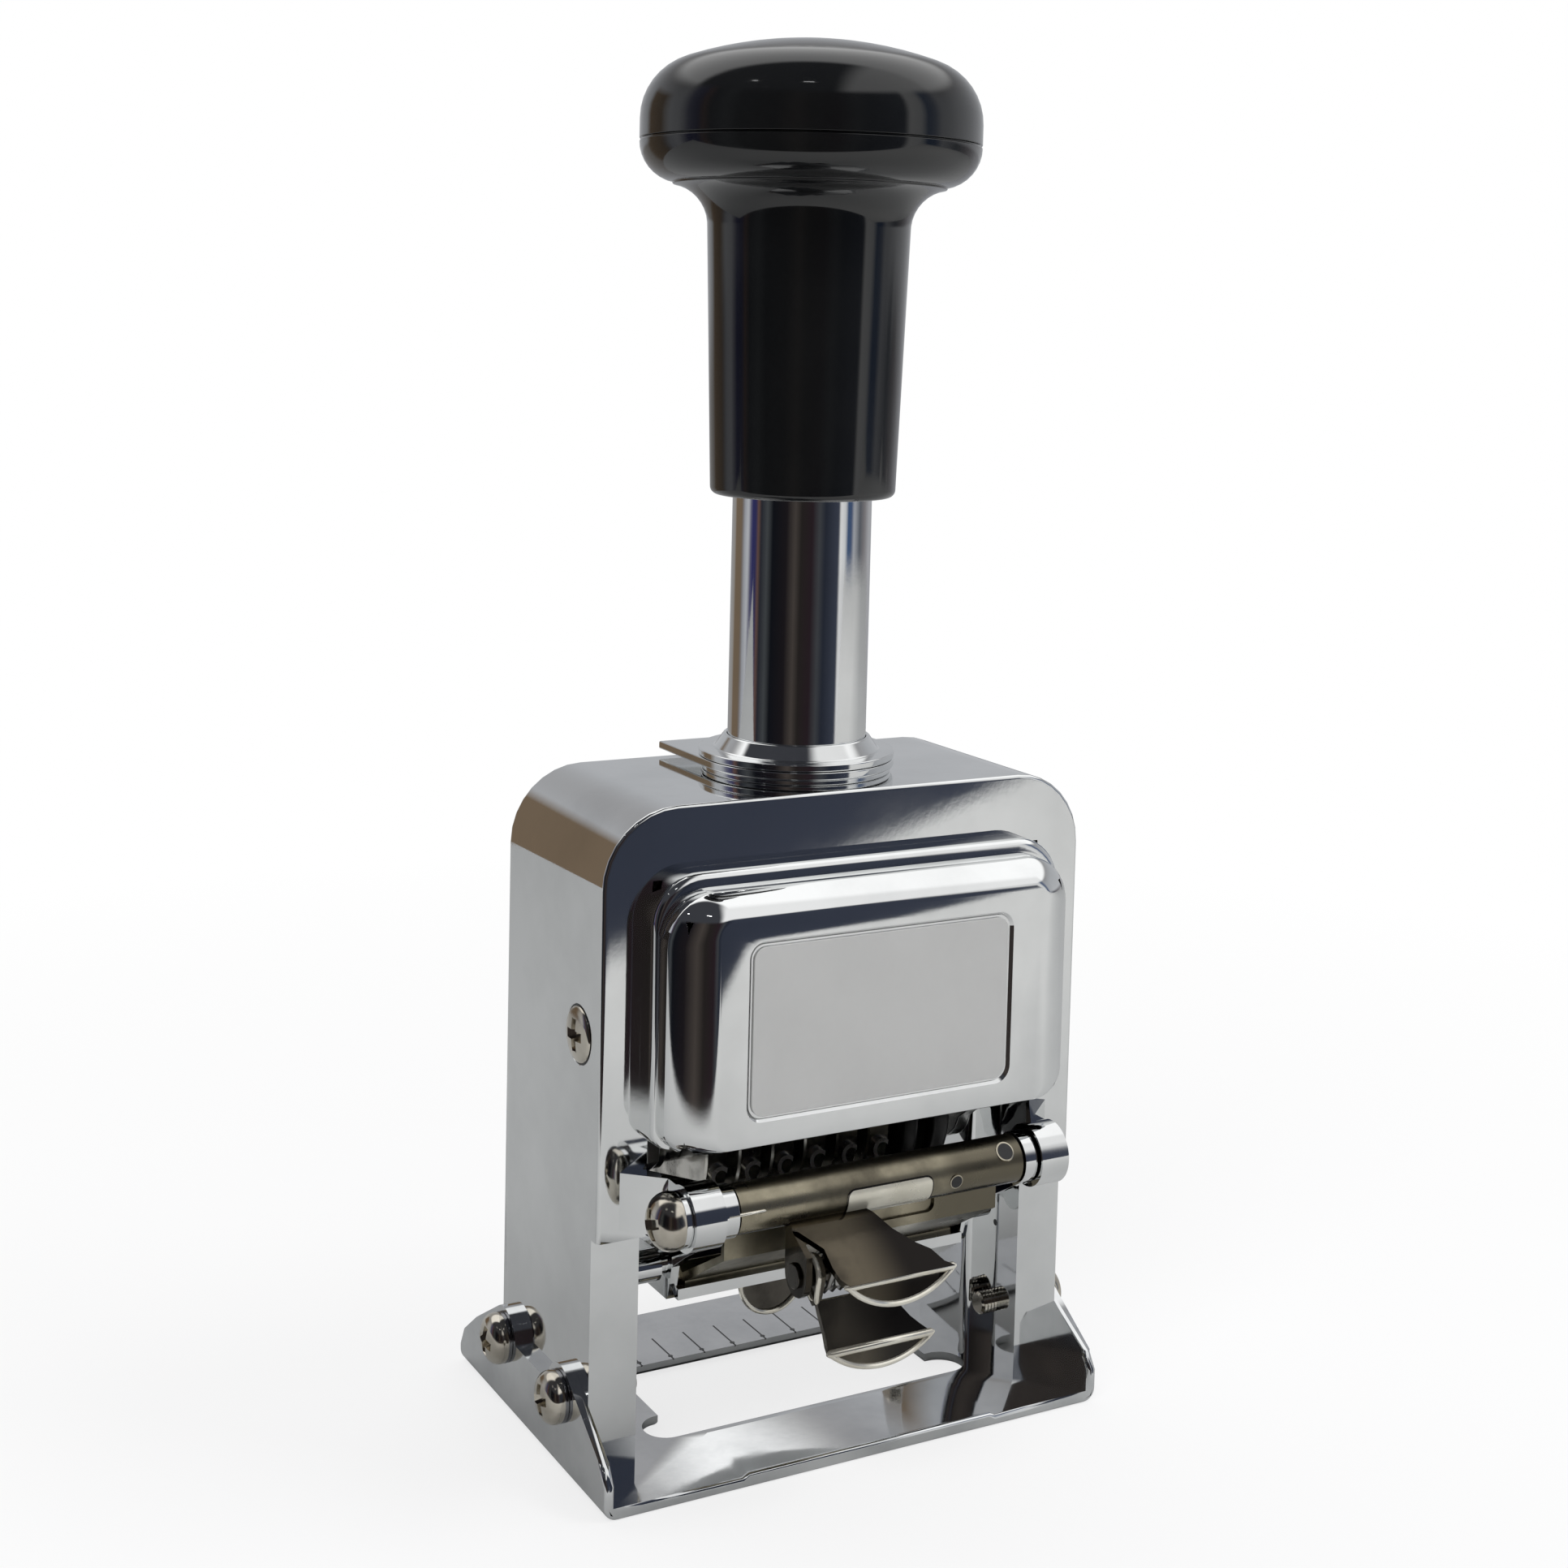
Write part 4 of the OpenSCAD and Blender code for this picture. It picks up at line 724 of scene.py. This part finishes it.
def makeTicks(s):
    near, top, half = s["near"], s["top"], s["wide"] / 2
    foot = top - s["deep"]
    for i in range(s["count"]):
        x = s["first"] - i * s["pitch"]
        mesh = makeBlock((x - half, near + s["lift"], foot), (x + half, near + s["long"], top - s["under"]))
        dot = circlePoints((x, near + s["inset"]), s["dot"], s["dotSteps"])
        joinRings(mesh, [[(*point, z) for point in dot] for z in (foot, top + s["lift"])])
        setPiece(f"tick_{i + 1}", mesh, ["base_plate"], "tickPaint")


makeTicks(tickSettings)
say("setting marks made")


# Painted shade: a small black plug in the right leg's inner face, for the shaded inside of a hole
holeShadeSettings = {"y": -8.5, "z": 20.4, "r": 0.42, "wall": 27.5, "deep": 0.3, "lift": 0.02, "steps": 24}


def makeHole(s):
    mesh = bmesh.new()
    edge = circlePoints((s["y"], s["z"]), s["r"], s["steps"])
    joinRings(mesh, [[(x, *point) for point in edge] for x in (s["wall"] - s["lift"], s["wall"] + s["deep"])])
    setPiece("legHoleShade", mesh, ["frame_body"], "blackPlain")


makeHole(holeShadeSettings)
say("leg hole made")


# Number wheels: a turned rim with raised figures, mirrored as type, and the ratchet beside it
wheelSettings = {
    "root": 10.1, "face": 10.68, "rim": 3.2, "edge": 0.25, "bore": 2.55, "steps": 80, "soft": 0.06,
    "wheels": 6, "figures": 10, "firstTurn": 180, "figureHigh": 3.9, "figureWide": 2.5, "sunk": 0.2,
    "faceDeep": 0.1, "curveSteps": 4, "narrowest": 0.35, "curveWeld": 0.00001,
    "ratchetTip": 7.0, "ratchetRoot": 5.9, "ratchetWide": 1.3, "lead": 0.85,
}


def figureMesh(figure, s):
    curve = bpy.data.curves.new("figure", "FONT")
    curve.body = str(figure)
    curve.align_x = "CENTER"
    curve.align_y = "CENTER"
    curve.resolution_u = s["curveSteps"]
    shape = bpy.data.objects.new("figure", curve)
    scene.collection.objects.link(shape)
    bpy.context.view_layer.update()
    flat = bmesh.new()
    flat.from_mesh(shape.evaluated_get(bpy.context.evaluated_depsgraph_get()).to_mesh())
    bpy.data.objects.remove(shape)
    bmesh.ops.remove_doubles(flat, verts=flat.verts, dist=s["curveWeld"])
    xs = [v.co.x for v in flat.verts]
    ys = [v.co.y for v in flat.verts]
    for v in flat.verts:
        v.co.x = (v.co.x - (min(xs) + max(xs)) / 2) / max(s["narrowest"], max(xs) - min(xs)) * s["figureWide"]
        v.co.y = (v.co.y - (min(ys) + max(ys)) / 2) / (max(ys) - min(ys)) * s["figureHigh"]
        v.co.z = s["root"] - s["sunk"]
    grown = bmesh.ops.extrude_face_region(flat, geom=flat.faces[:])
    for v in grown["geom"]:
        if isinstance(v, bmesh.types.BMVert):
            v.co.z = s["face"]
    return flat


def makeWheel(i, s):
    node = f"number_wheel_{i}"
    low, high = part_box(node)
    left = low.x / mm
    right = left + s["rim"]
    middle = (left + right) / 2
    centre = (low + high) / 2 / mm
    profile = [
        (left, s["bore"]), (left, s["root"] - s["edge"]), (left + s["edge"], s["root"]),
        (right - s["edge"], s["root"]), (right, s["root"] - s["edge"]), (right, s["bore"]), (left, s["bore"]),
    ]
    mesh = turned([(x, 0.0, r) for x, r in profile], s["steps"])
    bmesh.ops.remove_doubles(mesh, verts=mesh.verts, dist=meshSettings["turnedWeld"] * mm)
    count = s["figures"]
    for figure in range(count):
        flat = figureMesh(figure, s)
        start = math.radians(360 / count * figure + s["firstTurn"])
        data = bpy.data.meshes.new("figure")
        for v in flat.verts:
            turn = start + v.co.y / s["root"]
            v.co = Vector((middle - v.co.x, v.co.z * math.sin(turn), v.co.z * math.cos(turn))) * mm
        flat.to_mesh(data)
        flat.free()
        mesh.from_mesh(data)
        bpy.data.meshes.remove(data)
    teeth = []
    for k in range(count):
        for share, r in ((0, s["ratchetRoot"]), (s["lead"], s["ratchetTip"])):
            t = 2 * math.pi * (k + share) / count
            teeth.append((r * math.cos(t), r * math.sin(t)))
    joinRings(mesh, [[(x, y, z) for y, z in teeth] for x in (right, right + s["ratchetWide"])])
    bmesh.ops.translate(mesh, verts=mesh.verts, vec=Vector((0.0, centre.y, centre.z)) * mm)
    keen = meshSettings["turnedKeen"]
    wheel = setPiece("figures_" + node, mesh, [node], "wheelMetal", s["soft"], keen=keen)
    wheel.data.materials.append(finishes["figureMetal"])
    for face in wheel.data.polygons:
        reach = Vector((face.center.y - centre.y * mm, face.center.z - centre.z * mm)).length
        if reach > (s["face"] - s["faceDeep"]) * mm:
            face.material_index = 1


for i in range(wheelSettings["wheels"]):
    makeWheel(i + 1, wheelSettings)
say("number wheels made")


# Lid and lever: the CAD sheet with a polished tongue darkened by painted shade, and rounded folds and rims on
# it in painted highlight
sheetSettings = {
    "lidFront": -24.2, "foldR": 0.5, "rimR": 0.36, "shift": -0.5,
    "tongue": {"x": -2.7, "y": -34.2, "z": 28.5, "wide": 14.4, "drop": 3.1, "node": "pad_lid"},
    "lever": {"x": -2.7, "y": -30.2, "z": 18.8, "wide": 14.0, "drop": 2.6, "node": "latch_lever"},
    "tongueTop": 33.5, "foldBack": 0.1, "soft": 0.2, "softSteps": 3, "shaft": (-23.2, 35.5), "sleeveR": 3.0,
    "window": {
        "x": (-5.9, 5.9), "turn": (-76, 16), "corner": 0.9, "cornerSteps": 6, "thick": 0.12, "line": 0.22,
        "step": 0.45, "keen": 60.0,
        "ringShares": (1.0, 0.97, 0.9, 0.8, 0.7, 0.6, 0.5, 0.4, 0.3, 0.2, 0.1, 0.02),
    },
    "eyelet": {"x": 16.9, "turn": 40, "r": 1.25, "ring": 0.2},
    "rivet": {"x": 9.4, "turn": -8, "r": 0.9, "ring": 0.14},
    "ringLifts": (-0.4, 0.06, 0.1), "holeShadeLifts": (-0.3, 0.13), "ringSteps": 24,
    "sheetEnd": {"x": (-22.0, -17.3), "turn": 9, "r": 0.2, "lift": 0.02},
    "ear": {
        "x": -11.6, "y": -27.3, "z": 27.9, "r": 2.1, "bar": 0.34, "turn": (200, -25), "steps": 16,
        "foot": 25.0, "feet": (-29.0, -27.9),
    },
    "tab": {"x": -7.5, "y": -10.5, "z": 20.1, "r": 4.4, "rim": 0.32, "steps": 20},
    "barSides": 10, "lipSteps": 18, "roundEnd": (0.9, 0.4),
}


# A round bar with round ends along a row of points, none of whose stretches runs along side; its bright tint
# is a painted highlight on the fold or rim
def setBar(name, node, points, r, side=(0.0, 1.0, 0.0)):
    points = [Vector(p) for p in points]
    push, narrow = sheetSettings["roundEnd"]
    circle = circlePoints((0.0, 0.0), 1.0, sheetSettings["barSides"])
    rings = []
    for i, p in enumerate(points):
        ahead = (points[min(i + 1, len(points) - 1)] - points[max(i - 1, 0)]).normalized()
        across = ahead.cross(Vector(side)).normalized()
        over = across.cross(ahead)
        ends = [(0.0, 1.0)]
        if i == 0:
            ends.insert(0, (-push, narrow))
        if i == len(points) - 1:
            ends.append((push, narrow))
        for along, share in ends:
            rings.append([p + (ahead * along + (across * a + over * b) * share) * r for a, b in circle])
    mesh = bmesh.new()
    joinRings(mesh, rings)
    setPiece(name, mesh, [node], "highlightNickel")


# The round lip below a tongue's fold, from its width and its drop
def lipArc(s, shift, steps):
    half = s["wide"] / 2
    r = (half * half + s["drop"] ** 2) / (2 * s["drop"])
    reach = math.asin(half / r)
    turns = [-reach + 2 * reach * i / steps for i in range(steps + 1)]
    x, z = s["x"] + shift, s["z"] - s["drop"] + r
    return [(x + r * math.sin(t), s["y"], z - r * math.cos(t)) for t in turns]


def dressSheet(name, node, finish, s):
    mesh = mergedCopy(node)
    sharpen(mesh, meshSettings["keen"])
    return finishPiece(name, mesh, [node], finish, s["soft"], s["softSteps"])


def makeLid(s):
    lid = dressSheet("rolledLid", "pad_lid", "dullNickel", s)
    lid.data.materials.append(finishes["tongueShadedNickel"])
    # Painted shade: the tongue's faces of the same sheet take the darker tongue tint
    for face in lid.data.polygons:
        if face.center.y < s["lidFront"] * mm and face.center.z < s["tongueTop"] * mm:
            face.material_index = 1
    dressSheet("bentLever", "latch_lever", "leverNickel", s)
    for name in ("tongue", "lever"):
        part = s[name]
        ends = [part["x"] + s["shift"] + side * part["wide"] / 2 for side in (-1, 1)]
        fold = [(x, part["y"] + s["foldBack"], part["z"]) for x in ends]
        setBar(name + "Fold", part["node"], fold, s["foldR"])
        setBar(name + "Rim", part["node"], lipArc(part, s["shift"], s["lipSteps"]), s["rimR"])
    makeWindow(s)
    for name in ("eyelet", "rivet"):
        makeEyelet(name, s)
    end = s["sheetEnd"]
    setBar("sheetEnd", "pad_lid", [onSleeve(s, x, end["turn"], end["lift"]) for x in end["x"]], end["r"])
    tab = s["tab"]
    turns = [math.pi * (1 + i / tab["steps"]) for i in range(tab["steps"] + 1)]
    below = [(tab["x"] + tab["r"] * math.cos(t), tab["y"], tab["z"] + tab["r"] * math.sin(t)) for t in turns]
    setBar("tabRim", "pull_tab", below, tab["rim"])
    ear = s["ear"]
    start, stop = (math.radians(t) for t in ear["turn"])
    turns = [start + (stop - start) * i / ear["steps"] for i in range(ear["steps"] + 1)]
    over = [(ear["x"], ear["y"] + ear["r"] * math.cos(t), ear["z"] + ear["r"] * math.sin(t)) for t in turns]
    feet = [(ear["x"], y, ear["foot"]) for y in ear["feet"]]
    setBar("earRim", "latch_lever", [feet[0], *over, feet[1]], ear["bar"], side=(1.0, 0.0, 0.0))


# A point on the lid's sleeve, by its angle above the front
def onSleeve(s, x, turn, lift=0.0):
    t = math.radians(turn)
    r = s["sleeveR"] + lift
    return Vector((x, s["shaft"][0] - r * math.cos(t), s["shaft"][1] + r * math.sin(t)))


# The bright window in the front of the sleeve, curved as the sleeve is, with a painted shadow line round it
def makeWindow(s):
    window = s["window"]
    spread = math.radians(1) * s["sleeveR"]
    for name, grow, lift, finish in (
        ("windowShadowLine", window["line"], window["thick"] / 2, "darkNickel"),
        ("brightWindow", 0.0, window["thick"], "windowNickel"),
    ):
        left, right = window["x"]
        low, high = (turn * spread for turn in window["turn"])
        corner = window["corner"] + grow
        outline = []
        sides = (left - grow, right + grow, low - grow, high + grow)
        rough = roundedBox(*sides, corner, corner, window["cornerSteps"])
        for a, b in zip(rough, rough[1:] + rough[:1]):
            a, b = Vector((*a, 0.0)), Vector((*b, 0.0))
            count = max(1, round((b - a).length / window["step"]))
            outline += [a.lerp(b, i / count).xy for i in range(count)]
        middle = Vector(((left + right) / 2, (low + high) / 2))
        rings = [[onSleeve(s, p.x, p.y / spread, -window["thick"]) for p in outline]]
        for share in window["ringShares"]:
            around = [middle + (p - middle) * share for p in outline]
            rings.append([onSleeve(s, p.x, p.y / spread, lift) for p in around])
        mesh = bmesh.new()
        joinRings(mesh, rings)
        setPiece(name, mesh, ["pad_lid"], finish, keen=window["keen"])


def makeEyelet(name, s):
    mark = s[name]
    middle = onSleeve(s, mark["x"], mark["turn"])
    out = Vector((0.0, middle.y - s["shaft"][0], middle.z - s["shaft"][1])).normalized()
    along = Vector((1.0, 0.0, 0.0))
    up = out.cross(along)
    wide = mark["r"]
    narrow = wide - mark["ring"]
    # Painted shade: the black disc in each eyelet and rivet stands for the shaded inside of its hole
    for label, radii, lifts, finish in (
        (name, (wide, wide, narrow), s["ringLifts"], "nickel"),
        (name + "Hole", (narrow, narrow), s["holeShadeLifts"], "blackPlain"),
    ):
        mesh = bmesh.new()
        joinRings(mesh, [
            [middle + out * lift + along * a + up * b for a, b in circlePoints((0.0, 0.0), r, s["ringSteps"])]
            for r, lift in zip(radii, lifts)
        ])
        setPiece(label, mesh, ["pad_lid"], finish)


makeLid(sheetSettings)
say("lid and lever made")


# Stage: the pale floor, and the table and the room that the plating mirrors
stageSettings = {
    "floorSize": 3.0,
    "floorDip": 0.02,
    "floorWhite": (0.86, 0.86, 0.865),
    "floorRough": 0.9,
    "floorShine": 0.0,
    "grainScale": 6.0,
    "grainShare": 0.12,
    "greyFrom": -0.2,
    "greyFull": 0.05,
    "tableGrey": (0.64, 0.64, 0.63),
    "tableFar": (0.46, 0.465, 0.465),
    "whiteNear": 0.75,
    "whiteFrom": 0.08,
    "whiteFull": 0.3,
    "tableEdge": (-0.548, -0.836, 0.154),
    "tableBack": 0.36,
    "tableReach": 0.9,
    "reachShare": 1.2,
    "edgeBlur": 0.006,
    "highFrom": 0.48,
    "highFull": 0.62,
    "lightFrom": 0.0,
    "lightFull": -0.14,
    "lightLevel": 1.15,
    "sideFrom": 0.2,
    "sideFull": 0.42,
    "overheadDark": (0.045, 0.047, 0.055),
    "overheadGrey": (0.92, 0.92, 0.92),
    "brown": (0.17, 0.125, 0.085),
    "brownFrom": 0.38,
    "brownFull": 0.3,
    "brownShares": ((0.0, 0.0), (0.105, 0.0), (0.125, 1.0), (0.17, 1.0), (0.2, 0.0)),
    "eyeFrom": -0.06,
    "eyeFull": 0.0,
    "backFrom": 0.25,
    "backFull": -0.45,
    "seenWhite": (1.0, 1.0, 1.0),
    "seenLevel": 1.0,
}
# Colour of the room all round at eye height, in degrees, from behind the object over its left side
roomBands = [
    (-180, (0.34, 0.35, 0.37)), (-141, (0.28, 0.26, 0.24)), (-134, (0.17, 0.115, 0.07)),
    (-125, (0.15, 0.10, 0.065)), (-119, (0.10, 0.10, 0.12)), (-110, (0.30, 0.31, 0.34)),
    (-99, (0.46, 0.47, 0.50)), (-93, (0.20, 0.20, 0.25)), (-89, (0.03, 0.03, 0.11)),
    (-81, (0.03, 0.03, 0.09)), (-76, (0.12, 0.07, 0.06)), (-70, (0.02, 0.022, 0.03)),
    (-58, (0.055, 0.06, 0.065)), (-48, (0.006, 0.007, 0.01)), (-24, (0.012, 0.01, 0.012)),
    (-10, (0.06, 0.05, 0.045)), (0, (0.02, 0.017, 0.016)), (18, (0.022, 0.014, 0.018)),
    (30, (0.05, 0.053, 0.06)), (40, (0.020, 0.024, 0.036)), (64, (0.045, 0.052, 0.075)),
    (68, (0.75, 0.75, 0.75)), (77, (0.60, 0.61, 0.62)), (83, (0.05, 0.09, 0.18)),
    (90, (0.06, 0.09, 0.17)), (97, (0.36, 0.37, 0.40)), (112, (0.10, 0.11, 0.13)),
    (126, (0.20, 0.19, 0.20)), (146, (0.38, 0.38, 0.40)), (180, (0.34, 0.35, 0.37)),
]
# Grey of the wall behind the object from the floor up, by the sine of the height
backLevels = [
    (-1.0, (0.40, 0.40, 0.41)), (0.0, (0.50, 0.51, 0.53)), (0.30, (0.44, 0.45, 0.47)),
    (0.47, (0.36, 0.36, 0.37)), (0.6, (0.45, 0.44, 0.43)), (1.0, (0.5, 0.5, 0.5)),
]


def makeFloor(s):
    mesh = bmesh.new()
    bmesh.ops.create_grid(mesh, x_segments=1, y_segments=1, size=s["floorSize"])
    data = bpy.data.meshes.new("floor")
    mesh.to_mesh(data)
    mesh.free()
    floor = bpy.data.objects.new("floor", data)
    scene.collection.objects.link(floor)
    floor.location.z = -s["floorDip"] * mm
    material = bpy.data.materials.new("paleFloor")
    material.use_nodes = True
    tree = material.node_tree
    coords = addNode(tree, "TexCoord").outputs["Object"]
    y = addNode(tree, "SeparateXYZ", {"Vector": coords}).outputs["Y"]
    ray = addNode(tree, "LightPath").outputs
    # White to the camera, and a worn grey table in the reflections
    grain = addNode(tree, "TexNoise", {"Vector": coords, "Scale": s["grainScale"]}).outputs["Fac"]
    back = addShare(tree, y, s["greyFrom"], s["greyFull"])
    worn = addNode(tree, "Math", {0: grain, 1: s["grainShare"], 2: back}, operation="MULTIPLY_ADD")
    grey = addMix(tree, worn.outputs["Value"], s["tableGrey"], s["tableFar"])
    shader = tree.nodes["Principled BSDF"]
    feed(shader, {
        "Base Color": addMix(tree, ray["Is Camera Ray"], grey, s["floorWhite"]),
        "Roughness": s["floorRough"], "Specular IOR Level": s["floorShine"],
    })
    # It fades to a clean white away from the object
    span = addNode(tree, "VectorMath", {0: coords}, operation="LENGTH").outputs["Value"]
    fade = addNode(tree, "MapRange", {
        "Value": span, "From Min": s["whiteFrom"], "From Max": s["whiteFull"], "To Min": s["whiteNear"],
    })
    glow = addNode(tree, "Emission", {"Strength": s["seenLevel"]})
    glowing = addMath(tree, "MULTIPLY", ray["Is Camera Ray"], fade.outputs["Result"])
    seen = addNode(tree, "MixShader", {
        "Fac": glowing, 1: shader.outputs["BSDF"], 2: glow.outputs["Emission"],
    })
    # The table ends a little way in front of the object, as its reflections show
    alongX, alongY, reach = s["tableEdge"]
    blur = s["edgeBlur"]
    edge = addNode(tree, "VectorMath", {0: coords, 1: (alongX, alongY, 0.0)}, operation="DOT_PRODUCT")
    pastEdge = addShare(tree, edge.outputs["Value"], reach - blur, reach + blur)
    pastBack = addShare(tree, y, s["tableBack"] - blur, s["tableBack"] + blur)
    pastReach = addShare(tree, span, s["tableReach"], s["tableReach"] * s["reachShare"])
    past = addMath(tree, "MAXIMUM", pastEdge, addMath(tree, "MAXIMUM", pastBack, pastReach))
    mirrored = addMath(tree, "MULTIPLY", past, ray["Is Glossy Ray"])
    clear = addNode(tree, "BsdfTransparent").outputs["BSDF"]
    whole = addNode(tree, "MixShader", {"Fac": mirrored, 1: seen.outputs["Shader"], 2: clear})
    feed(tree.nodes["Material Output"], {"Surface": whole.outputs["Shader"]})
    data.materials.append(material)


def addRamp(tree, share, stops):
    node = addNode(tree, "ValToRGB", {"Fac": share})
    marks = node.color_ramp.elements
    while len(marks) > 1:
        marks.remove(marks[-1])
    marks[0].position = stops[0][0]
    marks[0].color = (*stops[0][1], 1.0)
    for position, colour in stops[1:]:
        marks.new(position).color = (*colour, 1.0)
    return node.outputs["Color"]


def makeWorld(s):
    world = bpy.data.worlds.new("studio")
    scene.world = world
    world.use_nodes = True
    tree = world.node_tree
    tree.nodes.clear()
    aim = addNode(tree, "TexCoord").outputs["Generated"]
    height = addNode(tree, "SeparateXYZ", {"Vector": aim}).outputs["Z"]
    yaw = math.radians(cameraSettings["yaw"])
    toCamera, toRight = (
        addNode(tree, "VectorMath", {0: aim, 1: axis}, operation="DOT_PRODUCT").outputs["Value"]
        for axis in ((-math.sin(yaw), -math.cos(yaw), 0.0), (math.cos(yaw), -math.sin(yaw), 0.0))
    )
    # Angle all round, nought at the camera
    turn = addShare(tree, addMath(tree, "ARCTAN2", toRight, toCamera), -math.pi, math.pi)
    bands = addRamp(tree, turn, [((angle + 180) / 360, colour) for angle, colour in roomBands])
    # Wall behind, by height
    levels = [((sine + 1) / 2, colour) for sine, colour in backLevels]
    wall = addRamp(tree, addShare(tree, height, -1.0, 1.0), levels)
    behind = addShare(tree, toCamera, s["backFrom"], s["backFull"], soft=True)
    room = addMix(tree, behind, bands, wall)
    # Below eye height the bands run all the way round
    eye = addMix(tree, addShare(tree, height, s["eyeFrom"], s["eyeFull"], soft=True), bands, room)
    # A brown wall piece behind on the left
    side = addRamp(tree, turn, [(position, (level,) * 3) for position, level in s["brownShares"]])
    low = addShare(tree, height, s["brownFrom"], s["brownFull"])
    brown = addMix(tree, addMath(tree, "MULTIPLY", side, low), eye, s["brown"])
    # Dark overhead, grey to the right, and a bright light high up behind
    above = addShare(tree, height, s["highFrom"], s["highFull"], soft=True)
    sideways = addShare(tree, toRight, s["sideFrom"], s["sideFull"], soft=True)
    high = addMix(tree, above, brown, addMix(tree, sideways, s["overheadDark"], s["overheadGrey"]))
    rear = addShare(tree, toCamera, s["lightFrom"], s["lightFull"], soft=True)
    full = addMix(tree, addMath(tree, "MULTIPLY", rear, above), high, (s["lightLevel"],) * 3)
    # The camera itself sees a plain white behind the object
    studio = addNode(tree, "Background", {"Color": full}).outputs["Background"]
    white = addNode(tree, "Background", {"Color": s["seenWhite"], "Strength": s["seenLevel"]})
    isSeen = addNode(tree, "LightPath").outputs["Is Camera Ray"]
    mix = addNode(tree, "MixShader", {"Fac": isSeen, 1: studio, 2: white.outputs["Background"]})
    addNode(tree, "OutputWorld", {"Surface": mix.outputs["Shader"]})


# Two soft lamps that the plating does not mirror, and two thin ones that it does
lampAim = (0.0, 0.0, 0.09)
lampSettings = {
    "key": {"place": (-0.6, -0.5, 0.95), "size": (0.6, 0.6), "power": 6.0, "mirrored": False},
    "fill": {"place": (0.55, -0.35, 0.8), "size": (0.4, 0.25), "power": 3.0, "mirrored": False},
    "stripLeft": {"place": (-0.80, -0.17, 1.05), "size": (0.07, 0.02), "power": 0.03, "mirrored": True},
    "stripRight": {"place": (-0.415, -0.66, 1.08), "size": (0.12, 0.02), "power": 0.05, "mirrored": True},
}


def makeLamp(name, s):
    data = bpy.data.lights.new(name, "AREA")
    data.shape = "RECTANGLE"
    data.size, data.size_y = s["size"]
    data.energy = s["power"]
    lamp = bpy.data.objects.new(name, data)
    scene.collection.objects.link(lamp)
    aim = Vector(lampAim) - Vector(s["place"])
    lamp.location = s["place"]
    lamp.visible_glossy = s["mirrored"]
    lamp.rotation_euler = aim.to_track_quat("-Z", "Y").to_euler()


makeFloor(stageSettings)
makeWorld(stageSettings)
for name, s in lampSettings.items():
    makeLamp(name, s)
scene.view_settings.view_transform = "Standard"
say("stage set")
